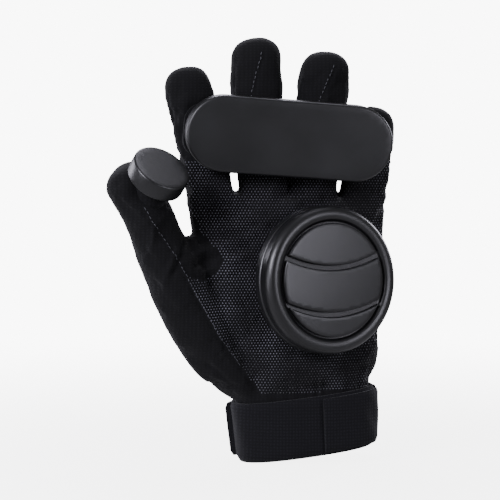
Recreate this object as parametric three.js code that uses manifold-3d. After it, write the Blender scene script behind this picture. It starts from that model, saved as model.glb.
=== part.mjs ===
// Slide glove for a left hand, in millimetres. The origin is the middle of the wrist opening.
// +Z runs up the hand to the fingertips, the palm faces -Y and the thumb is at -X.
import * as THREE from 'three';
import Module from 'manifold-3d';
import { mergeVertices } from 'three/addons/utils/BufferGeometryUtils.js';

const wasm = await Module();
wasm.setup();

// Driving sizes of the hand
const palmLength = 136;      // wrist opening to the finger bases
const palmThick = 34;        // palm cloth to back cloth at mid hand
const fingerWidth = 27;      // stall across, at its base
const fingerDepth = 24;      // stall from palm side to back
const fingerLength = 87;     // middle finger above the webs
const fingerCurl = 15;       // how far the middle fingertip bends toward the palm side
const fingertipRound = 12;   // length of the rounded end of a stall
const webRise = 12;          // webs between the fingers, above the finger bases
const rootDepth = 28;        // how far a stall's form runs down into the hand
const crotchGap = 2;         // between neighbouring stalls at the webs
const thumbWidth = 32;
const thumbTipRound = 11;
const clothThick = 2;
const pieceGap = 0.3;

// Driving sizes of the wrist closure
const wristOpeningTilt = 0.12;   // rise of the opening toward the little finger
const bandWidth = 34;
const bandThick = 2.6;
const strapWidth = 31;
const strapThick = 2.2;
const hemThick = 3.2;

// Driving sizes of the hard pieces
const palmPuckDiameter = 83;
const palmPuckThick = 11;
const palmBaseThick = 7.5;
const palmPuckTurn = 20;     // degrees that the palm puck faces toward the little finger
const palmPuckRise = 3;      // degrees that it faces up
const palmPadDiameter = 66;
const palmPadLeast = 1.6;
const fingerPuckLength = 117;
const fingerPuckWidth = 43;
const fingerPuckThick = 12;
const fingerPuckTilt = 4.2;  // degrees down toward the little finger
const fingerPuckNod = 6;     // degrees that the face looks down, in line with the bent fingers
const fingerPadLeast = 1.4;
const thumbPuckDiameter = 32.5;
const thumbPuckThick = 10;
const thumbPadDiameter = 22;
const thumbPadLeast = 1.5;
const guardLength = 93;
const guardWidth = 38;
const guardHeight = 12.5;
const guardWall = 2.2;
const guardLip = 3;
const guardLipThick = 1.8;
const guardTilt = 3;
const panelThick = 1.4;
const trimThick = 0.7;
const armorLength = 25;
const armorWidth = 18;
const armorHeight = 5.5;
const plateLength = 22;
const plateWidth = 17;
const plateThick = 1.2;
const dotDiameter = 5.1;
const dotHeight = 0.9;

const handSides = 26;
const puckSides = 32;
const webSides = 12;
const fingerSides = 12;
const handPower = 2.5;
const stallPower = 2.3;

// Finger stalls from the index to the little finger. long is a share of fingerLength, wide of
// fingerWidth, deep of fingerDepth, gap (before the stall) of crotchGap; lean is in degrees.
const fingers = [
  { name: 'index', long: 0.83, wide: 1.00, deep: 1.00, gap: 0.0, lean: -12.0 },
  { name: 'middle', long: 1.00, wide: 1.05, deep: 1.02, gap: 1.3, lean: -4.0 },
  { name: 'ring', long: 0.92, wide: 1.06, deep: 1.02, gap: 0.2, lean: 5.0 },
  { name: 'little', long: 0.57, wide: 0.98, deep: 0.95, gap: 1.3, lean: 6.0 },
];

// Stall sections above the webs. at is a share of the stall up to its rounded end; wide and deep
// are shares of its own width and depth.
const rootSection = { wide: 0.70, deep: 0.70 };
const stallSections = [
  { at: 0.00, wide: 1.00, deep: 1.00 },
  { at: 0.25, wide: 1.03, deep: 1.01 },
  { at: 0.50, wide: 0.98, deep: 0.97 },
  { at: 0.75, wide: 1.03, deep: 0.93 },
  { at: 1.00, wide: 0.97, deep: 0.84 },
];

// Width over the webs, from the stalls that they join.
const knuckleWidth = fingers.reduce((sum, f) => sum + f.wide * fingerWidth + f.gap * crotchGap, 0);
const indexEdge = -0.588;    // outer edge of the index finger at the webs, share of knuckleWidth

// Hand sections from the wrist up. up is a share of palmLength; left and right are shares of
// knuckleWidth from the origin; palm and back are shares of palmThick; slope is how far the
// section lies back toward the little finger; tilt is a share of wristOpeningTilt.
const handSections = [
  { up: -0.01, left: -0.310, right: 0.325, palm: 0.62, back: 0.62, slope: 0.00, tilt: 1.0 },
  { up: 0.12, left: -0.330, right: 0.325, palm: 0.61, back: 0.60, slope: 0.01, tilt: 1.0 },
  { up: 0.25, left: -0.352, right: 0.332, palm: 0.60, back: 0.58, slope: 0.05, tilt: 0.9 },
  { up: 0.38, left: -0.400, right: 0.378, palm: 0.60, back: 0.55, slope: 0.13, tilt: 0.6 },
  { up: 0.50, left: -0.450, right: 0.385, palm: 0.59, back: 0.53, slope: 0.20, tilt: 0.3 },
  { up: 0.64, left: -0.495, right: 0.400, palm: 0.56, back: 0.52, slope: 0.24, tilt: 0.1 },
  { up: 0.78, left: -0.530, right: 0.408, palm: 0.52, back: 0.50, slope: 0.22, tilt: 0.0 },
  { up: 0.90, left: -0.555, right: 0.414, palm: 0.47, back: 0.46, slope: 0.13, tilt: -0.3 },
  { up: 1.00, left: -0.565, right: 0.416, palm: 0.41, back: 0.41, slope: 0.05, tilt: -0.4 },
  { up: 1.05, left: -0.550, right: 0.405, palm: 0.33, back: 0.33, slope: 0.03, tilt: -0.4 },
  { up: 1.08, left: -0.520, right: 0.375, palm: 0.20, back: 0.20, slope: 0.03, tilt: -0.4 },
];
const backSlope = 0.3;       // share of a section's slope that its back side has

// Middle line of the thumb from inside the palm to its rounded end. across is a share of
// knuckleWidth, out (toward the palm side) of palmThick, up of palmLength, wide and deep of
// thumbWidth.
const thumbLine = [
  { across: -0.235, out: 0.02, up: 0.300, wide: 1.12, deep: 0.92 },
  { across: -0.370, out: 0.14, up: 0.390, wide: 1.20, deep: 0.94 },
  { across: -0.495, out: 0.34, up: 0.500, wide: 1.19, deep: 0.93 },
  { across: -0.612, out: 0.50, up: 0.665, wide: 1.13, deep: 0.90 },
  { across: -0.700, out: 0.64, up: 0.830, wide: 1.08, deep: 0.86 },
  { across: -0.795, out: 0.76, up: 0.995, wide: 1.02, deep: 0.80 },
  { across: -0.882, out: 0.86, up: 1.120, wide: 0.94, deep: 0.73 },
];
// Web between the thumb and the palm: reach in from the palm's edge as a share of knuckleWidth,
// thick of thumbWidth, up of palmLength.
const webSections = [
  { up: 0.36, reach: 0.10, thick: 0.48 },
  { up: 0.50, reach: 0.13, thick: 0.56 },
  { up: 0.64, reach: 0.14, thick: 0.54 },
  { up: 0.78, reach: 0.14, thick: 0.48 },
  { up: 0.88, reach: 0.14, thick: 0.40 },
  { up: 0.92, reach: 0.13, thick: 0.22 },
];
const thumbBack = new THREE.Vector3(-0.72, 0.6, -0.34).normalize();
const thumbPuckFacing = new THREE.Vector3(0.358, -0.616, 0.705).normalize();
const thumbPuckAlong = 0.9;  // share of the thumb's middle line

// Pucks and guard: middle of each as shares of knuckleWidth and palmLength.
const palmPuckPlace = { across: -0.035, up: 0.723 };
const fingerPuckPlace = { across: -0.108, up: 1.335 };
const guardPlace = { across: -0.062, up: 0.780 };

// Outline of the leather-like panel round the guard: shares of guardLength and guardWidth from the
// guard's middle, wrist side first.
const panelOutline = [
  { along: -0.56, up: -0.25 }, { along: -0.51, up: -0.67 }, { along: -0.38, up: -0.98 },
  { along: -0.25, up: -1.03 }, { along: -0.12, up: -0.98 }, { along: 0.05, up: -0.87 },
  { along: 0.17, up: -0.93 }, { along: 0.28, up: -1.00 }, { along: 0.38, up: -0.95 },
  { along: 0.47, up: -0.78 }, { along: 0.53, up: -0.40 }, { along: 0.545, up: 0.06 },
  { along: 0.525, up: 0.34 }, { along: 0.475, up: 0.64 }, { along: 0.40, up: 0.76 },
  { along: 0.33, up: 0.68 }, { along: 0.28, up: 0.65 }, { along: 0.22, up: 0.72 },
  { along: 0.125, up: 0.90 }, { along: 0.03, up: 0.76 }, { along: -0.04, up: 0.69 },
  { along: -0.11, up: 0.77 }, { along: -0.20, up: 0.88 }, { along: -0.29, up: 0.74 },
  { along: -0.36, up: 0.63 }, { along: -0.45, up: 0.65 }, { along: -0.53, up: 0.60 },
  { along: -0.565, up: 0.28 },
];

// Grooves between the guard's four bulges: shares of guardLength from its middle.
const guardGrooves = [-0.25, 0.047, 0.288];

// Slanted bars on the wrist side of the panel: shares of guardLength and guardWidth.
const accentBars = [
  { name: 'accent_bar_1', along: -0.37, up: -0.71, look: 'white' },
  { name: 'accent_bar_2', along: -0.24, up: -0.76, look: 'red' },
  { name: 'accent_bar_3', along: -0.11, up: -0.74, look: 'white' },
  { name: 'accent_bar_4', along: 0.16, up: -0.71, look: 'red' },
  { name: 'accent_bar_5', along: 0.29, up: -0.73, look: 'white' },
];

// White arcs on the finger side of the panel, one at each knuckle.
const knuckleArcs = [
  { name: 'knuckle_arc_index', along: -0.485, up: 0.42, turn: 37 },
  { name: 'knuckle_arc_middle', along: -0.20, up: 0.64, turn: 5 },
  { name: 'knuckle_arc_ring', along: 0.12, up: 0.63, turn: -2 },
  { name: 'knuckle_arc_little', along: 0.405, up: 0.525, turn: -24 },
];

// Dots on a fingertip plate: shares of plateLength from its middle and of dotDiameter.
const plateDots = [
  { up: -0.20, size: 1.00 },
  { up: 0.07, size: 0.84 },
  { up: 0.29, size: 0.68 },
];

const colours = {
  cloth: { color: 0x1a1a1c, roughness: 0.95, metalness: 0 },
  grip: { color: 0x202022, roughness: 0.8, metalness: 0 },
  strap: { color: 0x161618, roughness: 0.9, metalness: 0 },
  leather: { color: 0x121214, roughness: 0.5, metalness: 0 },
  guard: { color: 0x0c0c0e, roughness: 0.18, metalness: 0 },
  puck: { color: 0x17181a, roughness: 0.4, metalness: 0 },
  hook: { color: 0x101012, roughness: 1, metalness: 0 },
  white: { color: 0xe9e9e7, roughness: 0.5, metalness: 0 },
  red: { color: 0xb8202a, roughness: 0.5, metalness: 0 },
  yellow: { color: 0xe3c94a, roughness: 0.5, metalness: 0 },
};

const glove = new THREE.Group();

// Closed solids

function toSolid(points, triangles) {
  let volume = 0;
  const cross = new THREE.Vector3();
  for (const [a, b, c] of triangles) {
    volume += points[a].dot(cross.crossVectors(points[b], points[c]));
  }
  const turned = volume < 0 ? triangles.map(([a, b, c]) => [a, c, b]) : triangles;
  const vertProperties = new Float32Array(points.flatMap((p) => [p.x, p.y, p.z]));
  const triVerts = new Uint32Array(turned.flat());
  return new wasm.Manifold(new wasm.Mesh({ numProp: 3, vertProperties, triVerts }));
}

function geometrySolid(geometry) {
  const bare = geometry.clone();
  bare.deleteAttribute('normal');
  bare.deleteAttribute('uv');
  const merged = mergeVertices(bare, 1e-4);
  const at = merged.getAttribute('position');
  const points = [];
  for (let i = 0; i < at.count; i += 1) points.push(new THREE.Vector3().fromBufferAttribute(at, i));
  const order = merged.index.array;
  const triangles = [];
  for (let i = 0; i < order.length; i += 3) {
    const [a, b, c] = [order[i], order[i + 1], order[i + 2]];
    if (a !== b && b !== c && a !== c) triangles.push([a, b, c]);
  }
  return toSolid(points, triangles);
}

function biggestBody(solid) {
  const bodies = solid.decompose();
  return bodies.reduce((best, body) => (body.volume() > best.volume() ? body : best), bodies[0]);
}

function addPiece(name, solid, look) {
  const mesh = biggestBody(solid).getMesh();
  const geometry = new THREE.BufferGeometry();
  geometry.setAttribute('position', new THREE.BufferAttribute(new Float32Array(mesh.vertProperties), 3));
  geometry.setIndex(new THREE.BufferAttribute(new Uint32Array(mesh.triVerts), 1));
  geometry.computeVertexNormals();
  const piece = new THREE.Mesh(geometry, new THREE.MeshStandardMaterial(look));
  piece.name = name;
  glove.add(piece);
}

// Rings of equal count, joined in order and closed by a fan at each end.
function loft(rings) {
  const sides = rings[0].length;
  const points = rings.flat();
  const triangles = [];
  for (let r = 0; r + 1 < rings.length; r += 1) {
    for (let i = 0; i < sides; i += 1) {
      const j = (i + 1) % sides;
      const [a, b, c, d] = [r * sides + i, r * sides + j, (r + 1) * sides + i, (r + 1) * sides + j];
      triangles.push([a, b, d], [a, d, c]);
    }
  }
  for (const [first, flip] of [[0, true], [(rings.length - 1) * sides, false]]) {
    const middle = new THREE.Vector3();
    for (let i = 0; i < sides; i += 1) middle.add(points[first + i]);
    points.push(middle.divideScalar(sides));
    for (let i = 0; i < sides; i += 1) {
      const [a, b] = [first + i, first + ((i + 1) % sides)];
      triangles.push(flip ? [points.length - 1, b, a] : [points.length - 1, a, b]);
    }
  }
  return toSolid(points, triangles);
}

// A block between a top and a bottom surface, both given over the same grid.
function gridBlock(columns, rows, topAt, bottomAt) {
  const points = [];
  const index = (side, i, j) => side * (columns + 1) * (rows + 1) + i * (rows + 1) + j;
  for (const at of [topAt, bottomAt]) {
    for (let i = 0; i <= columns; i += 1) {
      for (let j = 0; j <= rows; j += 1) points.push(at(i / columns, j / rows));
    }
  }
  const triangles = [];
  const quad = (a, b, c, d) => triangles.push([a, b, c], [a, c, d]);
  for (let i = 0; i < columns; i += 1) {
    for (let j = 0; j < rows; j += 1) {
      quad(index(0, i, j), index(0, i + 1, j), index(0, i + 1, j + 1), index(0, i, j + 1));
      quad(index(1, i, j), index(1, i, j + 1), index(1, i + 1, j + 1), index(1, i + 1, j));
    }
  }
  for (let i = 0; i < columns; i += 1) {
    quad(index(0, i, 0), index(1, i, 0), index(1, i + 1, 0), index(0, i + 1, 0));
    quad(index(0, i + 1, rows), index(1, i + 1, rows), index(1, i, rows), index(0, i, rows));
  }
  for (let j = 0; j < rows; j += 1) {
    quad(index(0, 0, j + 1), index(1, 0, j + 1), index(1, 0, j), index(0, 0, j));
    quad(index(0, columns, j), index(1, columns, j), index(1, columns, j + 1), index(0, columns, j + 1));
  }
  return toSolid(points, triangles);
}

// Hand

function handSection(up) {
  const last = handSections.length - 1;
  let i = 0;
  while (i < last - 1 && up > handSections[i + 1].up) i += 1;
  const [low, high] = [handSections[i], handSections[i + 1]];
  const share = (up - low.up) / (high.up - low.up);
  const mixed = {};
  for (const key of Object.keys(low)) mixed[key] = low[key] + (high[key] - low[key]) * share;
  return mixed;
}

function roundedAt(angle, power) {
  const [c, s] = [Math.cos(angle), Math.sin(angle)];
  return [Math.sign(c) * Math.abs(c) ** (2 / power), Math.sign(s) * Math.abs(s) ** (2 / power)];
}

function handPoint(up, angle, grow) {
  const section = handSection(up);
  const [left, right] = [section.left * knuckleWidth - grow, section.right * knuckleWidth + grow];
  const [c, s] = roundedAt(angle, handPower);
  const depth = (s < 0 ? section.palm : section.back) * palmThick + grow;
  const x = (left + right) / 2 + ((right - left) / 2) * c;
  const z = up * palmLength + x * section.tilt * wristOpeningTilt;
  return new THREE.Vector3(x, depth * s + x * slopeAt(section, s), z);
}

// Slope of a section at a point from its palm side (-1) to its back (1).
function slopeAt(section, s) {
  return section.slope * ((1 + backSlope) / 2 - ((1 - backSlope) / 2) * s);
}

function handRing(up, grow) {
  const ring = [];
  for (let i = 0; i < handSides; i += 1) ring.push(handPoint(up, (2 * Math.PI * i) / handSides, grow));
  return ring;
}

function handSolid(grow, reach) {
  const rings = handSections.map((section) => handRing(section.up, grow));
  rings[0].forEach((point) => { point.z -= reach; });
  rings[rings.length - 1].forEach((point) => { point.z += Math.max(grow, 0) * 0.6 + Math.min(grow, 0); });
  return loft(rings);
}

// Height of the back (side 1) or the palm (side -1) of the hand at a place.
function handSurface(x, z, side) {
  const section = handSection(z / palmLength);
  const [left, right] = [section.left * knuckleWidth, section.right * knuckleWidth];
  const c = Math.min(Math.abs((2 * x - left - right) / (right - left)), 1);
  const depth = (side < 0 ? section.palm : section.back) * palmThick;
  const s = side * (1 - c ** handPower) ** (1 / handPower);
  return depth * s + x * slopeAt(section, s);
}

// Digits: a tube along a middle line, closed by a rounded end.

function digitFrame(digit, along) {
  const step = 0.5;
  const centre = digit.centre(along);
  const tangent = digit.centre(along + step).sub(digit.centre(along - step)).normalize();
  const across = new THREE.Vector3().crossVectors(digit.back, tangent).normalize();
  const back = new THREE.Vector3().crossVectors(tangent, across);
  return { centre, tangent, across, back };
}

function digitRing(digit, along, scale, grow, overrun) {
  const frame = digitFrame(digit, along);
  const size = digit.size(along);
  const halfWide = Math.max(size.wide / 2 + grow, 1) * scale;
  const halfDeep = Math.max(size.deep / 2 + grow, 1) * scale;
  const ring = [];
  for (let i = 0; i < fingerSides; i += 1) {
    const [c, s] = roundedAt((2 * Math.PI * i) / fingerSides, stallPower);
    ring.push(frame.centre.clone()
      .addScaledVector(frame.across, halfWide * c)
      .addScaledVector(frame.back, halfDeep * s)
      .addScaledVector(frame.tangent, overrun));
  }
  return ring;
}

function digitSolid(digit, grow) {
  const rings = digit.stations.map((along) => digitRing(digit, along, 1, grow, 0));
  for (const degrees of [30, 58, 80]) {
    const swing = THREE.MathUtils.degToRad(degrees);
    const reach = (digit.tip + grow) * Math.sin(swing);
    rings.push(digitRing(digit, digit.shaft, Math.cos(swing) ** 0.8, grow, reach));
  }
  return loft(rings);
}

function tableValue(table, key, at) {
  const last = table.length - 1;
  let i = 0;
  while (i < last - 1 && at > table[i + 1].at) i += 1;
  const [low, high] = [table[i], table[i + 1]];
  const share = Math.min(Math.max((at - low.at) / (high.at - low.at), 0), 1);
  return low[key] + (high[key] - low[key]) * share;
}

function makeFingers() {
  let edge = indexEdge * knuckleWidth;
  return fingers.map((row) => {
    const wide = row.wide * fingerWidth;
    const x = edge + row.gap * crotchGap + wide / 2;
    edge = x + wide / 2;
    const lean = THREE.MathUtils.degToRad(row.lean);
    const shaft = row.long * fingerLength - fingertipRound;
    return {
      name: row.name,
      shaft,
      tip: fingertipRound,
      back: new THREE.Vector3(0, 1, 0),
      stations: [-rootDepth, ...stallSections.map((section) => section.at * shaft)],
      centre: (along) => new THREE.Vector3(
        x + Math.sin(lean) * along,
        -fingerCurl * (Math.max(along, 0) / fingerLength) ** 2,
        palmLength + webRise + Math.cos(lean) * along,
      ),
      size: (along) => ({
        wide: wide * (along < 0 ? rootSection.wide : tableValue(stallSections, 'wide', along / shaft)),
        deep: row.deep * fingerDepth
          * (along < 0 ? rootSection.deep : tableValue(stallSections, 'deep', along / shaft)),
      }),
    };
  });
}

function makeThumb() {
  const line = new THREE.CatmullRomCurve3(thumbLine.map((row) => new THREE.Vector3(
    row.across * knuckleWidth,
    -row.out * palmThick,
    row.up * palmLength,
  )));
  const shaft = line.getLength();
  const sizes = thumbLine.map((row, i) => ({ ...row, at: i / (thumbLine.length - 1) }));
  const steps = 8;
  return {
    name: 'thumb',
    shaft,
    tip: thumbTipRound,
    back: thumbBack,
    stations: Array.from({ length: steps }, (_, i) => (i * shaft) / (steps - 1)),
    centre: (along) => {
      const at = Math.min(Math.max(along / shaft, 0), 1);
      const beyond = along - at * shaft;
      return line.getPoint(at).addScaledVector(line.getTangent(at), beyond);
    },
    size: (along) => ({
      wide: thumbWidth * tableValue(sizes, 'wide', along / shaft),
      deep: thumbWidth * tableValue(sizes, 'deep', along / shaft),
    }),
  };
}

const stalls = makeFingers();
const thumb = makeThumb();

// Flat web of the thumb, from the thumb's middle line to inside the palm.
function webSolid(grow) {
  const rings = webSections.map((row) => {
    const height = row.up * palmLength;
    const outer = digitPointAtHeight(thumb, height);
    const edge = handPoint(row.up, Math.PI, 0);
    const inner = new THREE.Vector3(edge.x + row.reach * knuckleWidth, edge.y / 2, height);
    const along = inner.clone().sub(outer).setZ(0);
    const thick = new THREE.Vector3(-along.y, along.x, 0).normalize();
    const half = (row.thick * thumbWidth) / 2 + grow;
    const middle = outer.clone().add(inner).divideScalar(2).setZ(height);
    const reach = 1 + grow / (along.length() / 2);
    return Array.from({ length: webSides }, (_, i) => {
      const [c, t] = roundedAt((2 * Math.PI * i) / webSides, handPower);
      return middle.clone().addScaledVector(along, (c * reach) / 2).addScaledVector(thick, half * t);
    });
  });
  rings[rings.length - 1].forEach((point) => { point.z += grow; });
  return loft(rings);
}

// The hand with its thumb web, without the digits.
function handForm(grow, reach) {
  return handSolid(grow, reach).add(webSolid(grow));
}

// The glove's outer form, grown outward by a distance, as one solid without its hollow.
const grownForms = new Map();

function gloveForm(grow) {
  if (!grownForms.has(grow)) {
    let form = handForm(grow, Math.max(grow, 0));
    for (const digit of [...stalls, thumb]) form = form.add(digitSolid(digit, grow));
    grownForms.set(grow, form);
  }
  return grownForms.get(grow);
}

// Cloth

const sideSeam = { slope: 0.1, depth: 200 };

// Everything on one side of the seams that run up the hand's two edges.
function seamSide(side) {
  const block = new THREE.BoxGeometry(4 * knuckleWidth, sideSeam.depth, 4 * palmLength);
  block.translate(0, (side * (sideSeam.depth + pieceGap)) / 2, palmLength);
  block.rotateZ(Math.atan(sideSeam.slope));
  return geometrySolid(block);
}

function addHandCloth() {
  const wristOverrun = 20;
  let hollow = handForm(-clothThick, wristOverrun);
  for (const digit of [...stalls, thumb]) hollow = hollow.add(digitSolid(digit, -clothThick));
  const shell = handForm(0, 0).subtract(hollow);
  addPiece('palm_panel', shell.intersect(seamSide(-1)), colours.grip);
  addPiece('back_panel', shell.intersect(seamSide(1)), colours.cloth);
}

function addStalls() {
  const hand = handForm(pieceGap, 0);
  stalls.forEach((digit, i) => {
    let wall = digitSolid(digit, 0).subtract(digitSolid(digit, -clothThick)).subtract(hand);
    if (i > 0) wall = wall.subtract(digitSolid(stalls[i - 1], pieceGap));
    addPiece(`stall_${digit.name}`, wall, colours.cloth);
  });
  const wall = digitSolid(thumb, 0).subtract(digitSolid(thumb, -clothThick)).subtract(hand);
  addPiece('stall_thumb', wall, colours.cloth);
}

// Wrist closure

// A wrap of even thickness round the wrist, between two levels and two of the hand's sides,
// counted from the little finger's edge by way of the back.
function wristWrap(low, high, from, to, grow, thick) {
  const count = to - from;
  const whole = count === handSides;
  const levels = 3;
  const rings = [];
  for (let i = 0; i < count + (whole ? 0 : 1); i += 1) {
    const angle = (2 * Math.PI * (from + i)) / handSides;
    const inner = [];
    const outer = [];
    for (let j = 0; j < levels; j += 1) {
      const up = (low + ((high - low) * j) / (levels - 1)) / palmLength;
      inner.push(handPoint(up, angle, grow));
      outer.push(handPoint(up, angle, grow + thick));
    }
    rings.push([...inner, ...outer.reverse()]);
  }
  const sides = 2 * levels;
  const points = rings.flat();
  const triangles = [];
  const quad = (a, b, c, d) => triangles.push([a, b, c], [a, c, d]);
  for (let r = 0; r < count; r += 1) {
    const next = (r + 1) % rings.length;
    for (let i = 0; i < sides; i += 1) {
      const j = (i + 1) % sides;
      quad(r * sides + i, r * sides + j, next * sides + j, next * sides + i);
    }
  }
  if (!whole) {
    const end = count * sides;
    for (let k = 0; k + 1 < levels; k += 1) {
      quad(k, sides - 1 - k, sides - 2 - k, k + 1);
      quad(end + k, end + k + 1, end + sides - 2 - k, end + sides - 1 - k);
    }
  }
  return toSolid(points, triangles);
}

function addWristClosure() {
  const low = handSections[0].up * palmLength;
  const strapLow = low + (bandWidth - strapWidth) / 2;
  const overBand = 2 * pieceGap + bandThick;
  addPiece('wrist_band', wristWrap(low, low + bandWidth, 0, handSides, pieceGap, bandThick), colours.strap);
  const wrap = (name, from, to, thick) => addPiece(
    name, wristWrap(strapLow, strapLow + strapWidth, from, to, overBand, thick), colours.strap);
  wrap('elastic_strap', 0, Math.round(0.385 * handSides), strapThick);
  wrap('strap_hem', Math.round(0.42 * handSides), Math.round(0.5 * handSides) - 1, hemThick);
  wrap('hook_tab', Math.round(0.77 * handSides), handSides - 1, strapThick);
}

// Flat shapes

function circle(radius, sides) {
  return new THREE.Shape(Array.from({ length: sides }, (_, i) => {
    const angle = (2 * Math.PI * i) / sides;
    return new THREE.Vector2(radius * Math.cos(angle), radius * Math.sin(angle));
  }));
}

function stadium(length, width) {
  const [reach, radius] = [(length - width) / 2, width / 2];
  const shape = new THREE.Shape();
  shape.absarc(reach, 0, radius, -Math.PI / 2, Math.PI / 2, false);
  shape.absarc(-reach, 0, radius, Math.PI / 2, (3 * Math.PI) / 2, false);
  return shape;
}

// A shape pushed out along a facing direction, from depth `from` to depth `to` on it.
function pushed(shape, frame, from, to, segments = 10, roll = 0) {
  const geometry = new THREE.ExtrudeGeometry(shape, {
    depth: to - from, bevelEnabled: false, curveSegments: segments,
  });
  geometry.translate(0, 0, from);
  geometry.rotateZ(THREE.MathUtils.degToRad(roll));
  geometry.applyMatrix4(frame);
  return geometrySolid(geometry);
}

// Frame at a place whose local Z is the facing direction and whose local Y runs up the glove.
function facingFrame(place, facing) {
  const up = new THREE.Vector3(0, 0, 1);
  const across = new THREE.Vector3().crossVectors(up, facing).normalize();
  const rise = new THREE.Vector3().crossVectors(facing, across);
  return new THREE.Matrix4().makeBasis(across, rise, facing).setPosition(place);
}

// Farthest that the glove's form reaches along a frame's local Z, within a radius of its middle.
function seatLevel(frame, reach) {
  const back = frame.clone().invert();
  const mesh = gloveForm(0).getMesh();
  const point = new THREE.Vector3();
  let level = -Infinity;
  for (let i = 0; i < mesh.vertProperties.length; i += mesh.numProp) {
    point.fromArray(mesh.vertProperties, i).applyMatrix4(back);
    if (reach(point.x, point.y) && point.z > level) level = point.z;
  }
  return level;
}

// Pucks

function turned(profile, sides) {
  const geometry = new THREE.LatheGeometry(profile.map(([r, y]) => new THREE.Vector2(r, y)), sides);
  return geometry.rotateX(Math.PI / 2);
}

function addPalmPuck() {
  const [turn, rise] = [palmPuckTurn, palmPuckRise].map(THREE.MathUtils.degToRad);
  const facing = new THREE.Vector3(
    Math.sin(turn) * Math.cos(rise), -Math.cos(turn) * Math.cos(rise), Math.sin(rise));
  const place = new THREE.Vector3(
    palmPuckPlace.across * knuckleWidth, 0, palmPuckPlace.up * palmLength);
  const frame = facingFrame(place, facing);
  const radius = palmPuckDiameter / 2;
  const seat = Math.max(
    seatLevel(frame, (x, y) => Math.hypot(x, y) < palmPadDiameter / 2) + palmPadLeast,
    seatLevel(frame, (x, y) => Math.hypot(x, y) < radius * 1.1) + palmPadLeast / 2,
  );
  const pad = pushed(circle(palmPadDiameter / 2, 24), frame, seat - palmThick * 0.6, seat - pieceGap);
  addPiece('palm_hook_pad', pad.subtract(gloveForm(pieceGap)), colours.hook);

  const baseTop = seat + palmBaseThick;
  const edge = palmBaseThick * 0.25;
  const base = turned([
    [0, seat], [radius - edge, seat], [radius, seat + edge], [radius, baseTop - edge / 2],
    [radius - edge / 2, baseTop], [0, baseTop],
  ], puckSides);
  addPiece('palm_puck_base', geometrySolid(base.applyMatrix4(frame)), colours.puck);

  const low = baseTop + pieceGap;
  const top = low + palmPuckThick;
  const groove = { inner: radius * 0.77, outer: radius * 0.80, depth: palmPuckThick * 0.27 };
  const round = palmPuckThick * 0.36;
  const profile = [[0, low], [radius - edge / 2, low], [radius, low + edge / 2], [radius, top - round]];
  for (const degrees of [40, 90]) {
    const swing = THREE.MathUtils.degToRad(degrees);
    profile.push([radius - round + round * Math.cos(swing), top - round + round * Math.sin(swing)]);
  }
  profile.push([groove.outer * 1.03, top], [groove.outer, top - groove.depth]);
  profile.push([0, top - groove.depth]);
  let disc = geometrySolid(turned(profile, puckSides).applyMatrix4(frame));
  for (const pad of raisedPads(groove.inner)) {
    disc = disc.add(pushed(pad, frame, top - groove.depth * 1.3, top - groove.depth * 0.15, 12));
  }
  addPiece('palm_puck', disc, colours.puck);
}

// Three raised pads in a circle, parted by two plain bowed channels.
function raisedPads(radius) {
  const [arcSteps, bowSteps] = [6, 6];
  const channel = radius * 0.085;
  const bow = radius * 0.16;
  const reach = radius * 0.36;
  const edgeAt = (level, share) => level - bow * (1 - share * share);
  const arc = (from, to) => Array.from({ length: arcSteps + 1 }, (_, i) => {
    const angle = from + ((to - from) * i) / arcSteps;
    return new THREE.Vector2(radius * Math.cos(angle), radius * Math.sin(angle));
  });
  const line = (level, flip) => {
    const half = Math.sqrt(radius ** 2 - level ** 2);
    const points = Array.from({ length: bowSteps + 1 }, (_, i) => {
      const share = (2 * i) / bowSteps - 1;
      return new THREE.Vector2(half * share, edgeAt(level, share));
    });
    return flip ? points.reverse() : points;
  };
  const at = (level) => Math.asin(level / radius);
  const [low, high] = [-reach, reach];
  const topPad = [...arc(at(high + channel), Math.PI - at(high + channel)), ...line(high + channel, false)];
  const middlePad = [
    ...arc(at(low + channel), at(high - channel)), ...line(high - channel, true),
    ...arc(Math.PI - at(high - channel), Math.PI - at(low + channel)), ...line(low + channel, false),
  ];
  const lowPad = [
    ...arc(Math.PI - at(low - channel), 2 * Math.PI + at(low - channel)), ...line(low - channel, true),
  ];
  return [topPad, middlePad, lowPad].map((points) => new THREE.Shape(cleaned(points)));
}

// Points without neighbours that coincide.
function cleaned(points) {
  return points.filter((point, i) => point.distanceTo(points[(i + 1) % points.length]) > 0.05);
}

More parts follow.
